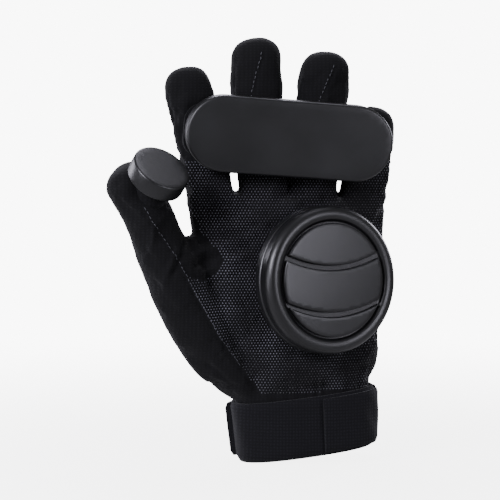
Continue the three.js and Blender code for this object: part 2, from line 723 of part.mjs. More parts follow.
function addFingerPuck() {
  const place = new THREE.Vector3(
    fingerPuckPlace.across * knuckleWidth, 0, fingerPuckPlace.up * palmLength);
  const nod = THREE.MathUtils.degToRad(fingerPuckNod);
  const frame = facingFrame(place, new THREE.Vector3(0, -Math.cos(nod), -Math.sin(nod)));
  frame.multiply(new THREE.Matrix4().makeRotationZ(-THREE.MathUtils.degToRad(fingerPuckTilt)));
  const [halfLength, halfWidth] = [fingerPuckLength / 2, fingerPuckWidth / 2];
  const seat = seatLevel(frame, (x, y) => Math.abs(x) < halfLength && Math.abs(y) < halfWidth);
  const low = seat + fingerPadLeast;
  const bevel = fingerPuckThick * 0.14;
  const puck = new THREE.ExtrudeGeometry(stadium(fingerPuckLength - 2 * bevel, fingerPuckWidth - 2 * bevel), {
    depth: fingerPuckThick - 2 * bevel,
    bevelThickness: bevel,
    bevelSize: bevel,
    bevelSegments: 2,
    curveSegments: 9,
  });
  puck.translate(0, 0, low + bevel);
  addPiece('finger_puck', geometrySolid(puck.applyMatrix4(frame)), colours.puck);
  for (const digit of stalls) {
    const middle = digitPointAtHeight(digit, place.z).applyMatrix4(frame.clone().invert());
    const shape = stadium(fingerPuckWidth * 0.7, fingerWidth * 0.72);
    const spot = frame.clone().multiply(new THREE.Matrix4().makeTranslation(middle.x, 0, 0));
    const pad = pushed(shape, spot, low - fingerDepth * 0.6, low - pieceGap, 5, 90);
    addPiece(`finger_hook_pad_${digit.name}`, pad.subtract(gloveForm(pieceGap)), colours.hook);
  }
}

function digitPointAtHeight(digit, height) {
  let along = 0;
  while (along < digit.shaft && digit.centre(along).z < height) along += 1;
  return digit.centre(along);
}

function addThumbPuck() {
  const middle = digitFrame(thumb, thumbPuckAlong * thumb.shaft).centre;
  const frame = facingFrame(middle, thumbPuckFacing);
  const radius = thumbPuckDiameter / 2;
  const low = seatLevel(frame, (x, y) => Math.hypot(x, y) < radius) + thumbPadLeast;
  const high = low + thumbPuckThick;
  const bevel = thumbPuckThick * 0.12;
  const profile = [
    [0, low], [radius - bevel, low], [radius, low + bevel], [radius, high - bevel],
    [radius - bevel, high], [0, high],
  ];
  addPiece('thumb_puck', geometrySolid(turned(profile, 24).applyMatrix4(frame)), colours.puck);
  const pad = pushed(circle(thumbPadDiameter / 2, 14), frame, low - thumbWidth * 0.5, low - pieceGap);
  addPiece('thumb_hook_pad', pad.subtract(gloveForm(pieceGap)), colours.hook);
}

// Back of the hand

const overPanel = 2 * pieceGap + panelThick;

// A skin of even thickness that follows the cloth, inside a shape pushed along a frame.
function patch(shape, frame, from, to, grow, thick, segments = 6) {
  const skin = gloveForm(grow + thick).intersect(pushed(shape, frame, from, to, segments));
  return skin.subtract(gloveForm(grow));
}

function guardFrame() {
  const place = new THREE.Vector3(guardPlace.across * knuckleWidth, 0, guardPlace.up * palmLength);
  const frame = facingFrame(place, new THREE.Vector3(0, 1, 0));
  return frame.multiply(new THREE.Matrix4().makeRotationZ(THREE.MathUtils.degToRad(guardTilt)));
}

// Guard shares are seen in the glove's own left to right, so local X is turned round.
function onGuard(row) {
  return new THREE.Vector2(-row.along * guardLength, row.up * guardWidth);
}

function addGuardPanel() {
  const outline = new THREE.SplineCurve([...panelOutline, panelOutline[0]].map(onGuard));
  const shape = new THREE.Shape(cleaned(outline.getPoints(56)));
  const skin = patch(shape, guardFrame(), palmThick * 0.05, 2 * palmThick, pieceGap, panelThick);
  addPiece('guard_panel', skin, colours.leather);
}

function guardBlock(inset, height, sink, columns, rows) {
  const frame = guardFrame();
  const [halfLength, halfWidth] = [guardLength / 2 - inset, guardWidth / 2 - inset];
  const surface = (share) => handSurface(
    guardPlace.across * knuckleWidth + share * (guardLength / 2), guardPlace.up * palmLength, 1);
  const reach = 0.75;
  const [low, crown, high] = [surface(-reach), surface(0), surface(reach)];
  const [rise, bend] = [(high - low) / (2 * reach), ((high + low) / 2 - crown) / reach ** 2];
  const at = (i, j, raise) => {
    const [u, v] = [2 * i - 1, 2 * j - 1];
    const x = halfLength * Math.sin((u * Math.PI) / 2);
    const round = 0.3 + 0.7 * Math.sqrt(1 - Math.abs(x / halfLength) ** 3);
    const y = halfWidth * v * round;
    const share = x / (guardLength / 2);
    const base = crown + overPanel + rise * share + bend * share * share;
    return new THREE.Vector3(-x, y, base + raise(x, v, share)).applyMatrix4(frame);
  };
  const dome = (x, v, share) => {
    const groove = guardGrooves.reduce((sum, place) => (
      sum + Math.exp(-(((x - place * guardLength) / (guardLength * 0.028)) ** 2))), 0);
    const side = Math.sqrt(Math.max(1 - Math.abs(v) ** 3, 0));
    const ends = Math.sqrt(Math.max(1 - Math.abs(share) ** 6, 0.02));
    return Math.max(height * ends * (0.28 + 0.72 * side) - groove * guardHeight * 0.2 * side, 0.5);
  };
  return gridBlock(columns, rows, (i, j) => at(i, j, dome), (i, j) => at(i, j, () => -sink));
}

function addGuard() {
  const outer = guardBlock(0, guardHeight, guardHeight * 0.7, 19, 5);
  const inner = guardBlock(guardWall, guardHeight - guardWall, guardHeight, 9, 3);
  const lipShape = stadium(guardLength + 2 * guardLip, guardWidth + 1.4 * guardLip);
  const lip = patch(lipShape, guardFrame(), palmThick * 0.08, 2 * palmThick, overPanel, guardLipThick, 6);
  const shell = outer.subtract(gloveForm(overPanel)).add(lip).subtract(inner);
  addPiece('knuckle_guard', shell, colours.guard);
}

function slantedBar(length, width, slant) {
  return new THREE.Shape([
    new THREE.Vector2(-length / 2 - slant, -width / 2), new THREE.Vector2(length / 2 - slant, -width / 2),
    new THREE.Vector2(length / 2 + slant, width / 2), new THREE.Vector2(-length / 2 + slant, width / 2),
  ]);
}

function crescent(length, width) {
  const steps = 8;
  const points = [];
  for (let i = 0; i <= steps; i += 1) {
    const share = (2 * i) / steps - 1;
    points.push(new THREE.Vector2((length / 2) * share, width * (1 - share * share)));
  }
  for (let i = steps - 1; i > 0; i -= 1) {
    const share = (2 * i) / steps - 1;
    points.push(new THREE.Vector2((length / 2) * share, width * 0.35 * (1 - share * share)));
  }
  return new THREE.Shape(points);
}

function addTrim() {
  const onPanel = (row, shape, look) => {
    const spot = onGuard(row);
    const frame = guardFrame().multiply(new THREE.Matrix4().makeTranslation(spot.x, spot.y, 0));
    frame.multiply(new THREE.Matrix4().makeRotationZ(-THREE.MathUtils.degToRad(row.turn ?? 0)));
    addPiece(row.name, patch(shape, frame, 0, 2 * palmThick, overPanel, trimThick), look);
  };
  const bar = slantedBar(guardLength * 0.105, guardWidth * 0.17, guardWidth * 0.06);
  for (const row of accentBars) onPanel(row, bar, colours[row.look]);
  const arc = crescent(guardLength * 0.16, guardWidth * 0.13);
  for (const row of knuckleArcs) onPanel(row, arc, colours.white);
}

// Finger backs

const armorAlong = 0.17;     // shares of a stall's length above the webs
const plateAlong = 0.66;

function backFrame(digit, share) {
  const { centre, tangent, across, back } = digitFrame(digit, share * (digit.shaft + digit.tip));
  return new THREE.Matrix4().makeBasis(across.negate(), tangent, back).setPosition(centre);
}

function addArmor(digit) {
  const frame = backFrame(digit, armorAlong);
  const at = (i, j, raise) => {
    const [u, v] = [2 * i - 1, 2 * j - 1];
    const y = (armorLength / 2) * Math.sin((v * Math.PI) / 2);
    const round = 0.35 + 0.65 * Math.sqrt(1 - Math.abs((2 * y) / armorLength) ** 2.4);
    const x = (armorWidth / 2) * u * round;
    return new THREE.Vector3(x, y, fingerDepth / 2 + raise(u, v)).applyMatrix4(frame);
  };
  const dome = (u, v) => {
    const side = Math.sqrt(1 - Math.abs(u) ** 2.5);
    const ends = Math.sqrt(1 - Math.abs(v) ** 4);
    return armorHeight * (0.2 + 0.8 * side * ends) - armorHeight * 0.35 * Math.abs(u) ** 2;
  };
  const block = gridBlock(4, 6, (i, j) => at(i, j, dome), (i, j) => at(i, j, () => -fingerDepth * 0.3));
  addPiece(`finger_armor_${digit.name}`, block.subtract(gloveForm(pieceGap)), colours.guard);
}

function shield(length, width) {
  const shape = new THREE.Shape();
  shape.moveTo(-width / 2, -length * 0.42);
  shape.quadraticCurveTo(0, -length * 0.22, width / 2, -length * 0.42);
  shape.quadraticCurveTo(width * 0.56, length * 0.1, 0, length * 0.55);
  shape.quadraticCurveTo(-width * 0.56, length * 0.1, -width / 2, -length * 0.42);
  return shape;
}

function addTipPlate(digit) {
  const frame = backFrame(digit, plateAlong);
  const overPlate = 2 * pieceGap + plateThick;
  const shape = shield(plateLength, plateWidth);
  const plate = patch(shape, frame, 0, fingerDepth, pieceGap, plateThick, 3);
  addPiece(`tip_plate_${digit.name}`, plate, colours.leather);
  plateDots.forEach((row, i) => {
    const length = digit.shaft + digit.tip;
    const share = plateAlong + (row.up * plateLength) / length;
    const level = digit.size(share * length).deep / 2 + overPlate + dotHeight;
    const disc = pushed(circle((row.size * dotDiameter) / 2, 7), backFrame(digit, share), 0, level);
    addPiece(`tip_dot_${digit.name}_${i + 1}`, disc.subtract(gloveForm(overPlate)), colours.yellow);
  });
}

addHandCloth();
addStalls();
addWristClosure();
addPalmPuck();
addFingerPuck();
addThumbPuck();
addGuardPanel();
addGuard();
addTrim();
for (const digit of stalls) {
  addArmor(digit);
  addTipPlate(digit);
}

export default glove;
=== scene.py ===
import bisect
import math

import bpy
import numpy as np
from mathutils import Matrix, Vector, geometry, noise
from mathutils.bvhtree import BVHTree
from mathutils.kdtree import KDTree


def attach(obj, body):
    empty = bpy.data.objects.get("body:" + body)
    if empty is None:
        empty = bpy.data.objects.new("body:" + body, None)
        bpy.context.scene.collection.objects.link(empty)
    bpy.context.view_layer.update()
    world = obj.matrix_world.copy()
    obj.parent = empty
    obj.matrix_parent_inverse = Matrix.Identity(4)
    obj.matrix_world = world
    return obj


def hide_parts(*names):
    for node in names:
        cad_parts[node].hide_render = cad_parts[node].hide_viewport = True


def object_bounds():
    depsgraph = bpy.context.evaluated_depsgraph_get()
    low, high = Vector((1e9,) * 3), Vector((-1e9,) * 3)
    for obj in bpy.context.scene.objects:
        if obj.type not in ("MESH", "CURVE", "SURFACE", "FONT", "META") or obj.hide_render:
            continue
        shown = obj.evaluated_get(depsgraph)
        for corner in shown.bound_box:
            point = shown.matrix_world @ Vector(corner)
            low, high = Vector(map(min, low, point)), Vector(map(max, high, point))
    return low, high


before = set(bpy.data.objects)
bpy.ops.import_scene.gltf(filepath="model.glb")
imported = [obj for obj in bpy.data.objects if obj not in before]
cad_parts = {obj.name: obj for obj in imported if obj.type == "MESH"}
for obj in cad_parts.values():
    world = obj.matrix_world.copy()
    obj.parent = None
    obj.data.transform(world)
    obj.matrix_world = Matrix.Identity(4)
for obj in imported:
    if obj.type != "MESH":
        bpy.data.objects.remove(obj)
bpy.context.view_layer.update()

metre = 0.001  # lengths below are in millimetres, meshes are in metres

# The hand inside the glove: the same tables as the solids, read finer

hand = {
    "palmLength": 136,
    "palmThick": 34,
    "fingerWidth": 27,
    "fingerDepth": 24,
    "fingerLength": 87,
    "fingerCurl": 15,
    "fingertipRound": 12,
    "webRise": 12,
    "rootDepth": 28,
    "crotchGap": 2,
    "indexEdge": -0.588,
    "thumbWidth": 32,
    "thumbTipRound": 11,
    "power": 2.5,
    "stallPower": 2.3,
    "openingTilt": 0.12,
    "backSlope": 0.3,
}
fingerTable = [
    {"name": "index", "long": 0.83, "wide": 1.00, "deep": 1.00, "gap": 0.0, "lean": -12},
    {"name": "middle", "long": 1.00, "wide": 1.05, "deep": 1.02, "gap": 1.3, "lean": -4},
    {"name": "ring", "long": 0.92, "wide": 1.06, "deep": 1.02, "gap": 0.2, "lean": 5},
    {"name": "little", "long": 0.57, "wide": 0.98, "deep": 0.95, "gap": 1.3, "lean": 6},
]
stallTable = [
    {"at": 0.00, "wide": 1.00, "deep": 1.00},
    {"at": 0.25, "wide": 1.03, "deep": 1.01},
    {"at": 0.50, "wide": 0.98, "deep": 0.97},
    {"at": 0.75, "wide": 1.03, "deep": 0.93},
    {"at": 1.00, "wide": 0.97, "deep": 0.84},
]
handTable = [
    {"up": -0.01, "left": -0.310, "right": 0.325, "palm": 0.62, "back": 0.62, "slope": 0.00, "tilt": 1.0},
    {"up": 0.12, "left": -0.330, "right": 0.325, "palm": 0.61, "back": 0.60, "slope": 0.01, "tilt": 1.0},
    {"up": 0.25, "left": -0.352, "right": 0.332, "palm": 0.60, "back": 0.58, "slope": 0.05, "tilt": 0.9},
    {"up": 0.38, "left": -0.400, "right": 0.378, "palm": 0.60, "back": 0.55, "slope": 0.13, "tilt": 0.6},
    {"up": 0.50, "left": -0.450, "right": 0.385, "palm": 0.59, "back": 0.53, "slope": 0.20, "tilt": 0.3},
    {"up": 0.64, "left": -0.495, "right": 0.400, "palm": 0.56, "back": 0.52, "slope": 0.24, "tilt": 0.1},
    {"up": 0.78, "left": -0.530, "right": 0.408, "palm": 0.52, "back": 0.50, "slope": 0.22, "tilt": 0.0},
    {"up": 0.90, "left": -0.555, "right": 0.414, "palm": 0.47, "back": 0.46, "slope": 0.13, "tilt": -0.3},
    {"up": 1.00, "left": -0.565, "right": 0.416, "palm": 0.41, "back": 0.41, "slope": 0.05, "tilt": -0.4},
    {"up": 1.05, "left": -0.550, "right": 0.405, "palm": 0.33, "back": 0.33, "slope": 0.03, "tilt": -0.4},
    {"up": 1.08, "left": -0.520, "right": 0.375, "palm": 0.20, "back": 0.20, "slope": 0.03, "tilt": -0.4},
]
thumbTable = [
    {"across": -0.235, "out": 0.02, "up": 0.300, "wide": 1.12, "deep": 0.92},
    {"across": -0.370, "out": 0.14, "up": 0.390, "wide": 1.20, "deep": 0.94},
    {"across": -0.495, "out": 0.34, "up": 0.500, "wide": 1.19, "deep": 0.93},
    {"across": -0.612, "out": 0.50, "up": 0.665, "wide": 1.13, "deep": 0.90},
    {"across": -0.700, "out": 0.64, "up": 0.830, "wide": 1.08, "deep": 0.86},
    {"across": -0.795, "out": 0.76, "up": 0.995, "wide": 1.02, "deep": 0.80},
    {"across": -0.882, "out": 0.86, "up": 1.120, "wide": 0.94, "deep": 0.73},
]
webTable = [
    {"up": 0.36, "reach": 0.10, "thick": 0.48},
    {"up": 0.50, "reach": 0.13, "thick": 0.56},
    {"up": 0.64, "reach": 0.14, "thick": 0.54},
    {"up": 0.78, "reach": 0.14, "thick": 0.48},
    {"up": 0.88, "reach": 0.14, "thick": 0.40},
    {"up": 0.92, "reach": 0.13, "thick": 0.22},
]
thumbBack = (-0.72, 0.6, -0.34)
knuckleWidth = sum(f["wide"] * hand["fingerWidth"] + f["gap"] * hand["crotchGap"] for f in fingerTable)


def unit(v):
    v = np.asarray(v, float)
    return v / np.linalg.norm(v)


def readTable(rows, by, key, at):  # eases through a table's rows
    xs = [row[by] for row in rows]
    ys = [row[key] for row in rows]
    at = min(max(at, xs[0]), xs[-1])
    i = min(max(bisect.bisect_right(xs, at) - 1, 0), len(xs) - 2)

    def slope(k):
        a, b = max(k - 1, 0), min(k + 1, len(xs) - 1)
        return (ys[b] - ys[a]) / (xs[b] - xs[a])

    span = xs[i + 1] - xs[i]
    t = (at - xs[i]) / span
    h00, h10 = 2 * t**3 - 3 * t**2 + 1, t**3 - 2 * t**2 + t
    h01, h11 = -2 * t**3 + 3 * t**2, t**3 - t**2
    return h00 * ys[i] + h10 * span * slope(i) + h01 * ys[i + 1] + h11 * span * slope(i + 1)


def rounded(angle, power):  # a point of a rounded square
    c, s = np.cos(angle), np.sin(angle)
    return np.sign(c) * np.abs(c) ** (2 / power), np.sign(s) * np.abs(s) ** (2 / power)


def handRing(up, grow, angles):
    row = {key: readTable(handTable, "up", key, up) for key in handTable[0] if key != "up"}
    left, right = row["left"] * knuckleWidth - grow, row["right"] * knuckleWidth + grow
    c, s = rounded(angles, hand["power"])
    depth = np.where(s < 0, row["palm"], row["back"]) * hand["palmThick"] + grow
    x = (left + right) / 2 + (right - left) / 2 * c
    slope = row["slope"] * ((1 + hand["backSlope"]) / 2 - (1 - hand["backSlope"]) / 2 * s)
    z = up * hand["palmLength"] + x * row["tilt"] * hand["openingTilt"]
    return np.stack([x, depth * s + x * slope, z], 1)


def digitFrame(digit, along):
    centre = digit["centre"](along)
    tangent = unit(digit["centre"](along + 0.5) - digit["centre"](along - 0.5))
    across = unit(np.cross(digit["back"], tangent))
    return centre, tangent, across, np.cross(tangent, across)


def digitRing(digit, along, angles, scale, grow, over=0):
    centre, tangent, across, back = digitFrame(digit, along)
    wide, deep = digit["size"](along)
    c, s = rounded(angles, hand["stallPower"])
    return (centre + tangent * over + np.outer(c, across) * (wide / 2 + grow) * scale
            + np.outer(s, back) * (deep / 2 + grow) * scale)


def makeFinger(row, x):
    wide, lean = row["wide"] * hand["fingerWidth"], math.radians(row["lean"])
    shaft = row["long"] * hand["fingerLength"] - hand["fingertipRound"]

    def centre(along):
        bend = hand["fingerCurl"] * (max(along, 0) / hand["fingerLength"]) ** 2
        base = hand["palmLength"] + hand["webRise"]
        return np.array([x + math.sin(lean) * along, -bend, base + math.cos(lean) * along])

    def size(along):
        root = 1 - 0.3 * min(max(-along, 0) / hand["rootDepth"], 1)
        at = max(along, 0) / shaft
        return (wide * root * readTable(stallTable, "at", "wide", at),
                row["deep"] * hand["fingerDepth"] * root * readTable(stallTable, "at", "deep", at))

    return {"name": row["name"], "shaft": shaft, "tip": hand["fingertipRound"], "back": np.array([0, 1, 0]),
            "start": -hand["rootDepth"], "centre": centre, "size": size}


def makeThumb():
    points = np.array([[row["across"] * knuckleWidth, -row["out"] * hand["palmThick"],
                        row["up"] * hand["palmLength"]] for row in thumbTable])
    last = len(points) - 1

    def curve(t):  # centripetal, through the table's points
        i = min(int(last * t), last - 1)
        w = last * t - i
        p1, p2 = points[i], points[i + 1]
        p0 = points[i - 1] if i > 0 else 2 * p1 - p2
        p3 = points[i + 2] if i + 2 <= last else 2 * p2 - p1
        d0, d1, d2 = (np.linalg.norm(b - a) ** 0.5 for a, b in ((p0, p1), (p1, p2), (p2, p3)))
        t1 = ((p1 - p0) / d0 - (p2 - p0) / (d0 + d1) + (p2 - p1) / d1) * d1
        t2 = ((p2 - p1) / d1 - (p3 - p1) / (d1 + d2) + (p3 - p2) / d2) * d1
        return (p1 + t1 * w + (-3 * p1 + 3 * p2 - 2 * t1 - t2) * w**2
                + (2 * p1 - 2 * p2 + t1 + t2) * w**3)

    line = np.array([curve(k / 200) for k in range(201)])
    shaft = float(np.linalg.norm(np.diff(line, axis=0), axis=1).sum())
    rows = [{**row, "at": k / last} for k, row in enumerate(thumbTable)]

    def centre(along):
        at = min(max(along / shaft, 0), 1)
        tangent = unit(curve(min(at + 1e-4, 1)) - curve(max(at - 1e-4, 0)))
        return curve(at) + tangent * (along - at * shaft)

    def size(along):
        at = along / shaft
        return tuple(hand["thumbWidth"] * readTable(rows, "at", key, at) for key in ("wide", "deep"))

    return {"name": "thumb", "shaft": shaft, "tip": hand["thumbTipRound"], "back": unit(thumbBack),
            "start": 0, "centre": centre, "size": size}


digits = []
edge = hand["indexEdge"] * knuckleWidth
for row in fingerTable:
    half = row["wide"] * hand["fingerWidth"] / 2
    digits.append(makeFinger(row, edge + row["gap"] * hand["crotchGap"] + half))
    edge += row["gap"] * hand["crotchGap"] + 2 * half
thumb = makeThumb()


# Mesh helpers

def bandFaces(a, b, sides):  # quads between two closed rings, whose first points are a and b
    return [(a + i, a + (i + 1) % sides, b + (i + 1) % sides, b + i) for i in range(sides)]


def loft(rings):
    sides = len(rings[0])
    points = np.concatenate([*rings, [rings[0].mean(0)], [rings[-1].mean(0)]])
    faces = []
    for r in range(len(rings) - 1):
        faces += bandFaces(r * sides, (r + 1) * sides, sides)
    end = (len(rings) - 1) * sides
    for i in range(sides):
        j = (i + 1) % sides
        faces.append((len(points) - 2, j, i))
        faces.append((len(points) - 1, end + i, end + j))
    return points, faces


def addMesh(name, points, faces, material=None, sharp=None):
    mesh = bpy.data.meshes.new(name)
    mesh.from_pydata((np.asarray(points) * metre).tolist(), [], [tuple(map(int, f)) for f in faces])
    mesh.validate()
    mesh.polygons.foreach_set("use_smooth", [True] * len(mesh.polygons))
    if sharp:
        mesh.set_sharp_from_angle(angle=math.radians(sharp))
    if material:
        mesh.materials.append(material)
    mesh.update()
    piece = bpy.data.objects.new(name, mesh)
    bpy.context.collection.objects.link(piece)
    return piece


def finished(piece, slotName, *nodes):  # ties a piece to the frame
    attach(piece, "root")
    if nodes:
        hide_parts(*nodes)
    return piece


def evaluated(piece):
    graph = bpy.context.evaluated_depsgraph_get()
    mesh = bpy.data.meshes.new_from_object(piece.evaluated_get(graph))
    points = np.empty(len(mesh.vertices) * 3)
    mesh.vertices.foreach_get("co", points)
    faces = [tuple(p.vertices) for p in mesh.polygons]
    bpy.data.objects.remove(piece)
    return points.reshape(-1, 3) / metre, faces


def vertexNormals(points, faces):
    quads = np.array([f if len(f) == 4 else (*f, f[-1]) for f in faces if len(f) <= 4])
    a, b, c, d = (points[quads[:, k]] for k in range(4))
    flat = np.cross(c - a, d - b)
    normals = np.zeros_like(points)
    for k in range(4):
        np.add.at(normals, quads[:, k], flat)
    return normals / np.maximum(np.linalg.norm(normals, axis=1, keepdims=True), 1e-12)


def placeFrame(place, facing, tilt=0):  # local Z faces out, local Y runs up the glove
    facing = unit(facing)
    across = unit(np.cross((0, 0, 1), facing))
    rise = np.cross(facing, across)
    c, s = math.cos(math.radians(tilt)), math.sin(math.radians(tilt))
    return np.column_stack([across * c + rise * s, rise * c - across * s, facing]), np.asarray(place, float)


def toWorld(spot, local):
    axes, origin = spot
    return np.asarray(local) @ axes.T + origin


def nodeSpan(node, spot):  # lowest and highest level of a solid along a frame's local Z
    points = np.array([v.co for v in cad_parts[node].data.vertices]) / metre
    local = (points - spot[1]) @ spot[0]
    return local[:, 2].min(), local[:, 2].max()


# Materials

def toLinear(code):
    channels = [int(code[i:i + 2], 16) / 255 for i in (1, 3, 5)]
    return [c / 12.92 if c <= 0.04045 else ((c + 0.055) / 1.055) ** 2.4 for c in channels] + [1]


def addNode(tree, kind, inputs=None, **settings):
    node = tree.nodes.new(kind)
    for key, value in settings.items():
        setattr(node, key, value)
    for key, value in (inputs or {}).items():
        if isinstance(value, bpy.types.NodeSocket):
            tree.links.new(value, node.inputs[key])
        else:
            node.inputs[key].default_value = value
    return node


def newMaterial(name, look):
    material = bpy.data.materials.new(name)
    material.use_nodes = True
    tree = material.node_tree
    tree.nodes.clear()
    shader = addNode(tree, "ShaderNodeBsdfPrincipled", {
        "Base Color": toLinear(look["colour"]), "Roughness": look["roughness"], "IOR": look["ior"],
        "Sheen Weight": look.get("sheen", 0), "Sheen Roughness": look.get("sheenRoughness", 0.5),
        "Coat Weight": look.get("coat", 0), "Coat Roughness": look.get("coatRoughness", 0.1),
        "Specular IOR Level": look.get("specular", 0.5),
    })
    addNode(tree, "ShaderNodeOutputMaterial", {"Surface": shader.outputs["BSDF"]})
    place = addNode(tree, "ShaderNodeTexCoord").outputs["Object"]
    return material, tree, shader, place


# Knitted polyester with elastane, circular-knit and dyed black: dull and deep, with wales up the
# hand that are a little coarser than real ones, so that they show
knit = {"colour": "#09090a", "paler": "#151517", "roughness": 0.88, "ior": 1.46, "sheen": 0.05,
        "specular": 0.18, "waleMm": 1.1, "courseMm": 0.8, "bump": 0.5}


def knitMaterial(name, look):
    material, tree, shader, place = newMaterial(name, look)
    waleScale, courseScale = (1 / (look[key] * metre) / 20 * math.pi for key in ("waleMm", "courseMm"))
    wales = addNode(tree, "ShaderNodeTexWave", {"Vector": place, "Scale": waleScale, "Distortion": 1.2,
                                                "Detail": 1, "Detail Scale": 2}, bands_direction="X")
    courses = addNode(tree, "ShaderNodeTexWave", {"Vector": place, "Scale": courseScale, "Distortion": 1.5,
                                                  "Detail": 1, "Detail Scale": 2}, bands_direction="Z")
    loops = addNode(tree, "ShaderNodeMath", {0: wales.outputs["Fac"], 1: courses.outputs["Fac"]},
                    operation="MULTIPLY")
    wear = addNode(tree, "ShaderNodeTexNoise", {"Vector": place, "Scale": 45, "Detail": 4, "Roughness": 0.6})
    tint = addNode(tree, "ShaderNodeMath", {0: wear.outputs["Fac"], 1: loops.outputs["Value"]},
                   operation="MULTIPLY")
    colour = addNode(tree, "ShaderNodeMix", {"Factor": tint.outputs["Value"], 6: toLinear(look["colour"]),
                                             7: toLinear(look["paler"])}, data_type="RGBA")
    bump = addNode(tree, "ShaderNodeBump", {"Strength": look["bump"], "Distance": 0.0002,
                                            "Height": loops.outputs["Value"]})
    tree.links.new(colour.outputs[2], shader.inputs["Base Color"])
    tree.links.new(bump.outputs["Normal"], shader.inputs["Normal"])
    return material


stretchKnit = knitMaterial("stretchKnitPolyester", knit)
gripKnit = knitMaterial("printedGripKnit", knit)
bandKnit = knitMaterial("brushedNylonBand", {**knit, "colour": "#07070a", "paler": "#1b1b20", "waleMm": 0.9,
                                             "courseMm": 0.9, "specular": 0.22, "bump": 0.6})


# Injection-moulded HDPE: satin black, faintly mottled
hdpe = {"colour": "#0b0b0c", "paler": "#131415", "roughness": 0.38, "ior": 1.51, "specular": 0.5,
        "grainMm": 0.25}
# Polished injection-moulded ABS: deep black, mirror-like with a slight orange peel
polishedLook = {"colour": "#050506", "paler": "#09090b", "roughness": 0.22, "ior": 1.53, "specular": 0.5,
                "grainMm": 6.0, "coat": 0.2, "coatRoughness": 0.1}


def mouldedMaterial(name, look, bump):
    material, tree, shader, place = newMaterial(name, look)
    grain = addNode(tree, "ShaderNodeTexNoise", {"Vector": place, "Scale": 1 / (look["grainMm"] * metre),
                                                 "Detail": 2})
    cloud = addNode(tree, "ShaderNodeTexNoise", {"Vector": place, "Scale": 30, "Detail": 3})
    low, high = look.get("clouds", (0, 1))
    patches = addNode(tree, "ShaderNodeMapRange", {"Value": cloud.outputs["Fac"], 1: low, 2: high})
    colour = addNode(tree, "ShaderNodeMix", {"Factor": patches.outputs[0], 6: toLinear(look["colour"]),
                                             7: toLinear(look["paler"])}, data_type="RGBA")
    rough = addNode(tree, "ShaderNodeMapRange", {"Value": cloud.outputs["Fac"], 1: 0.3, 2: 0.7,
                                                 3: look["roughness"] - 0.04, 4: look["roughness"] + 0.06})
    relief = addNode(tree, "ShaderNodeBump", {"Strength": bump, "Distance": 0.0001,
                                              "Height": grain.outputs["Fac"]})
    tree.links.new(colour.outputs[2], shader.inputs["Base Color"])
    tree.links.new(rough.outputs[0], shader.inputs["Roughness"])
    tree.links.new(relief.outputs["Normal"], shader.inputs["Normal"])
    return material


mouldedHdpe = mouldedMaterial("mouldedHdpe", hdpe, 0.15)
polishedAbs = mouldedMaterial("polishedAbs", polishedLook, 0.08)

# Calendered PU on a foam backing: satin black with a fine pebble
leatherette = {"colour": "#070709", "paler": "#0f0f12", "roughness": 0.5, "ior": 1.5, "specular": 0.26,
               "grainMm": 0.9}
calenderedPu = mouldedMaterial("calenderedPu", leatherette, 0.5)
# Screen-cut soft PVC: flat colour, satin
softPvc = {"roughness": 0.5, "ior": 1.52, "grainMm": 0.5}
whitePvc = mouldedMaterial("cutWhitePvc", {**softPvc, "colour": "#e8e8e6", "paler": "#f4f4f2"}, 0.1)
redPvc = mouldedMaterial("cutRedPvc", {**softPvc, "colour": "#b81f2b", "paler": "#c9303a",
                                       "roughness": 0.45}, 0.1)
yellowPvc = mouldedMaterial("mouldedYellowPvc", {**softPvc, "colour": "#dcaa08", "paler": "#efc92c",
                                                 "roughness": 0.4, "grainMm": 0.8}, 0.2)
# Printed silicone: small beads, thicker in patches, and paler in random patches, which is painted highlight
# for their glints
silicone = {"colour": "#161618", "paler": "#5c5c64", "roughness": 0.34, "ior": 1.41, "grainMm": 0.5,
            "clouds": (0.36, 0.66)}
siliconeDotsPaintedGlint = mouldedMaterial("printedSiliconePaintedGlint", silicone, 0.1)
# Bonded polyester thread, twisted: grey and slightly shiny
threadLook = {"roughness": 0.5, "ior": 1.5, "grainMm": 0.3}
thread = mouldedMaterial("bondedThread", {**threadLook, "colour": "#2c2c30", "paler": "#48484d"}, 0.3)
paleThread = mouldedMaterial("paleBondedThread", {**threadLook, "colour": "#55555c", "paler": "#7c7c84"}, 0.3)
# Woven hook and loop tape: matt pile
hookTape = knitMaterial("wovenHookTape", {**knit, "colour": "#0a0a0b", "paler": "#16161a", "waleMm": 1.2,
                                          "courseMm": 1.2, "bump": 0.8})
print("materials made")


# Glove skin: fine lofts of the hand, web and digits, joined and smoothed

skinLook = {"voxel": 1.15, "smoothSteps": 9, "grow": 0.25, "clothThick": 1.6, "handFrom": -0.01,
            "handTo": 1.08, "belowHand": 12, "handRings": 90, "handSides": 120, "digitRings": 48,
            "digitSides": 48, "webRings": 24, "webSides": 32}
pinch = {"depth": 0.75, "at": 0.14, "reach": 0.24}  # fingers are slimmer just above the webs
tipDegrees = (10, 20, 30, 40, 50, 60, 68, 75, 81, 86)  # rings of a digit's round end


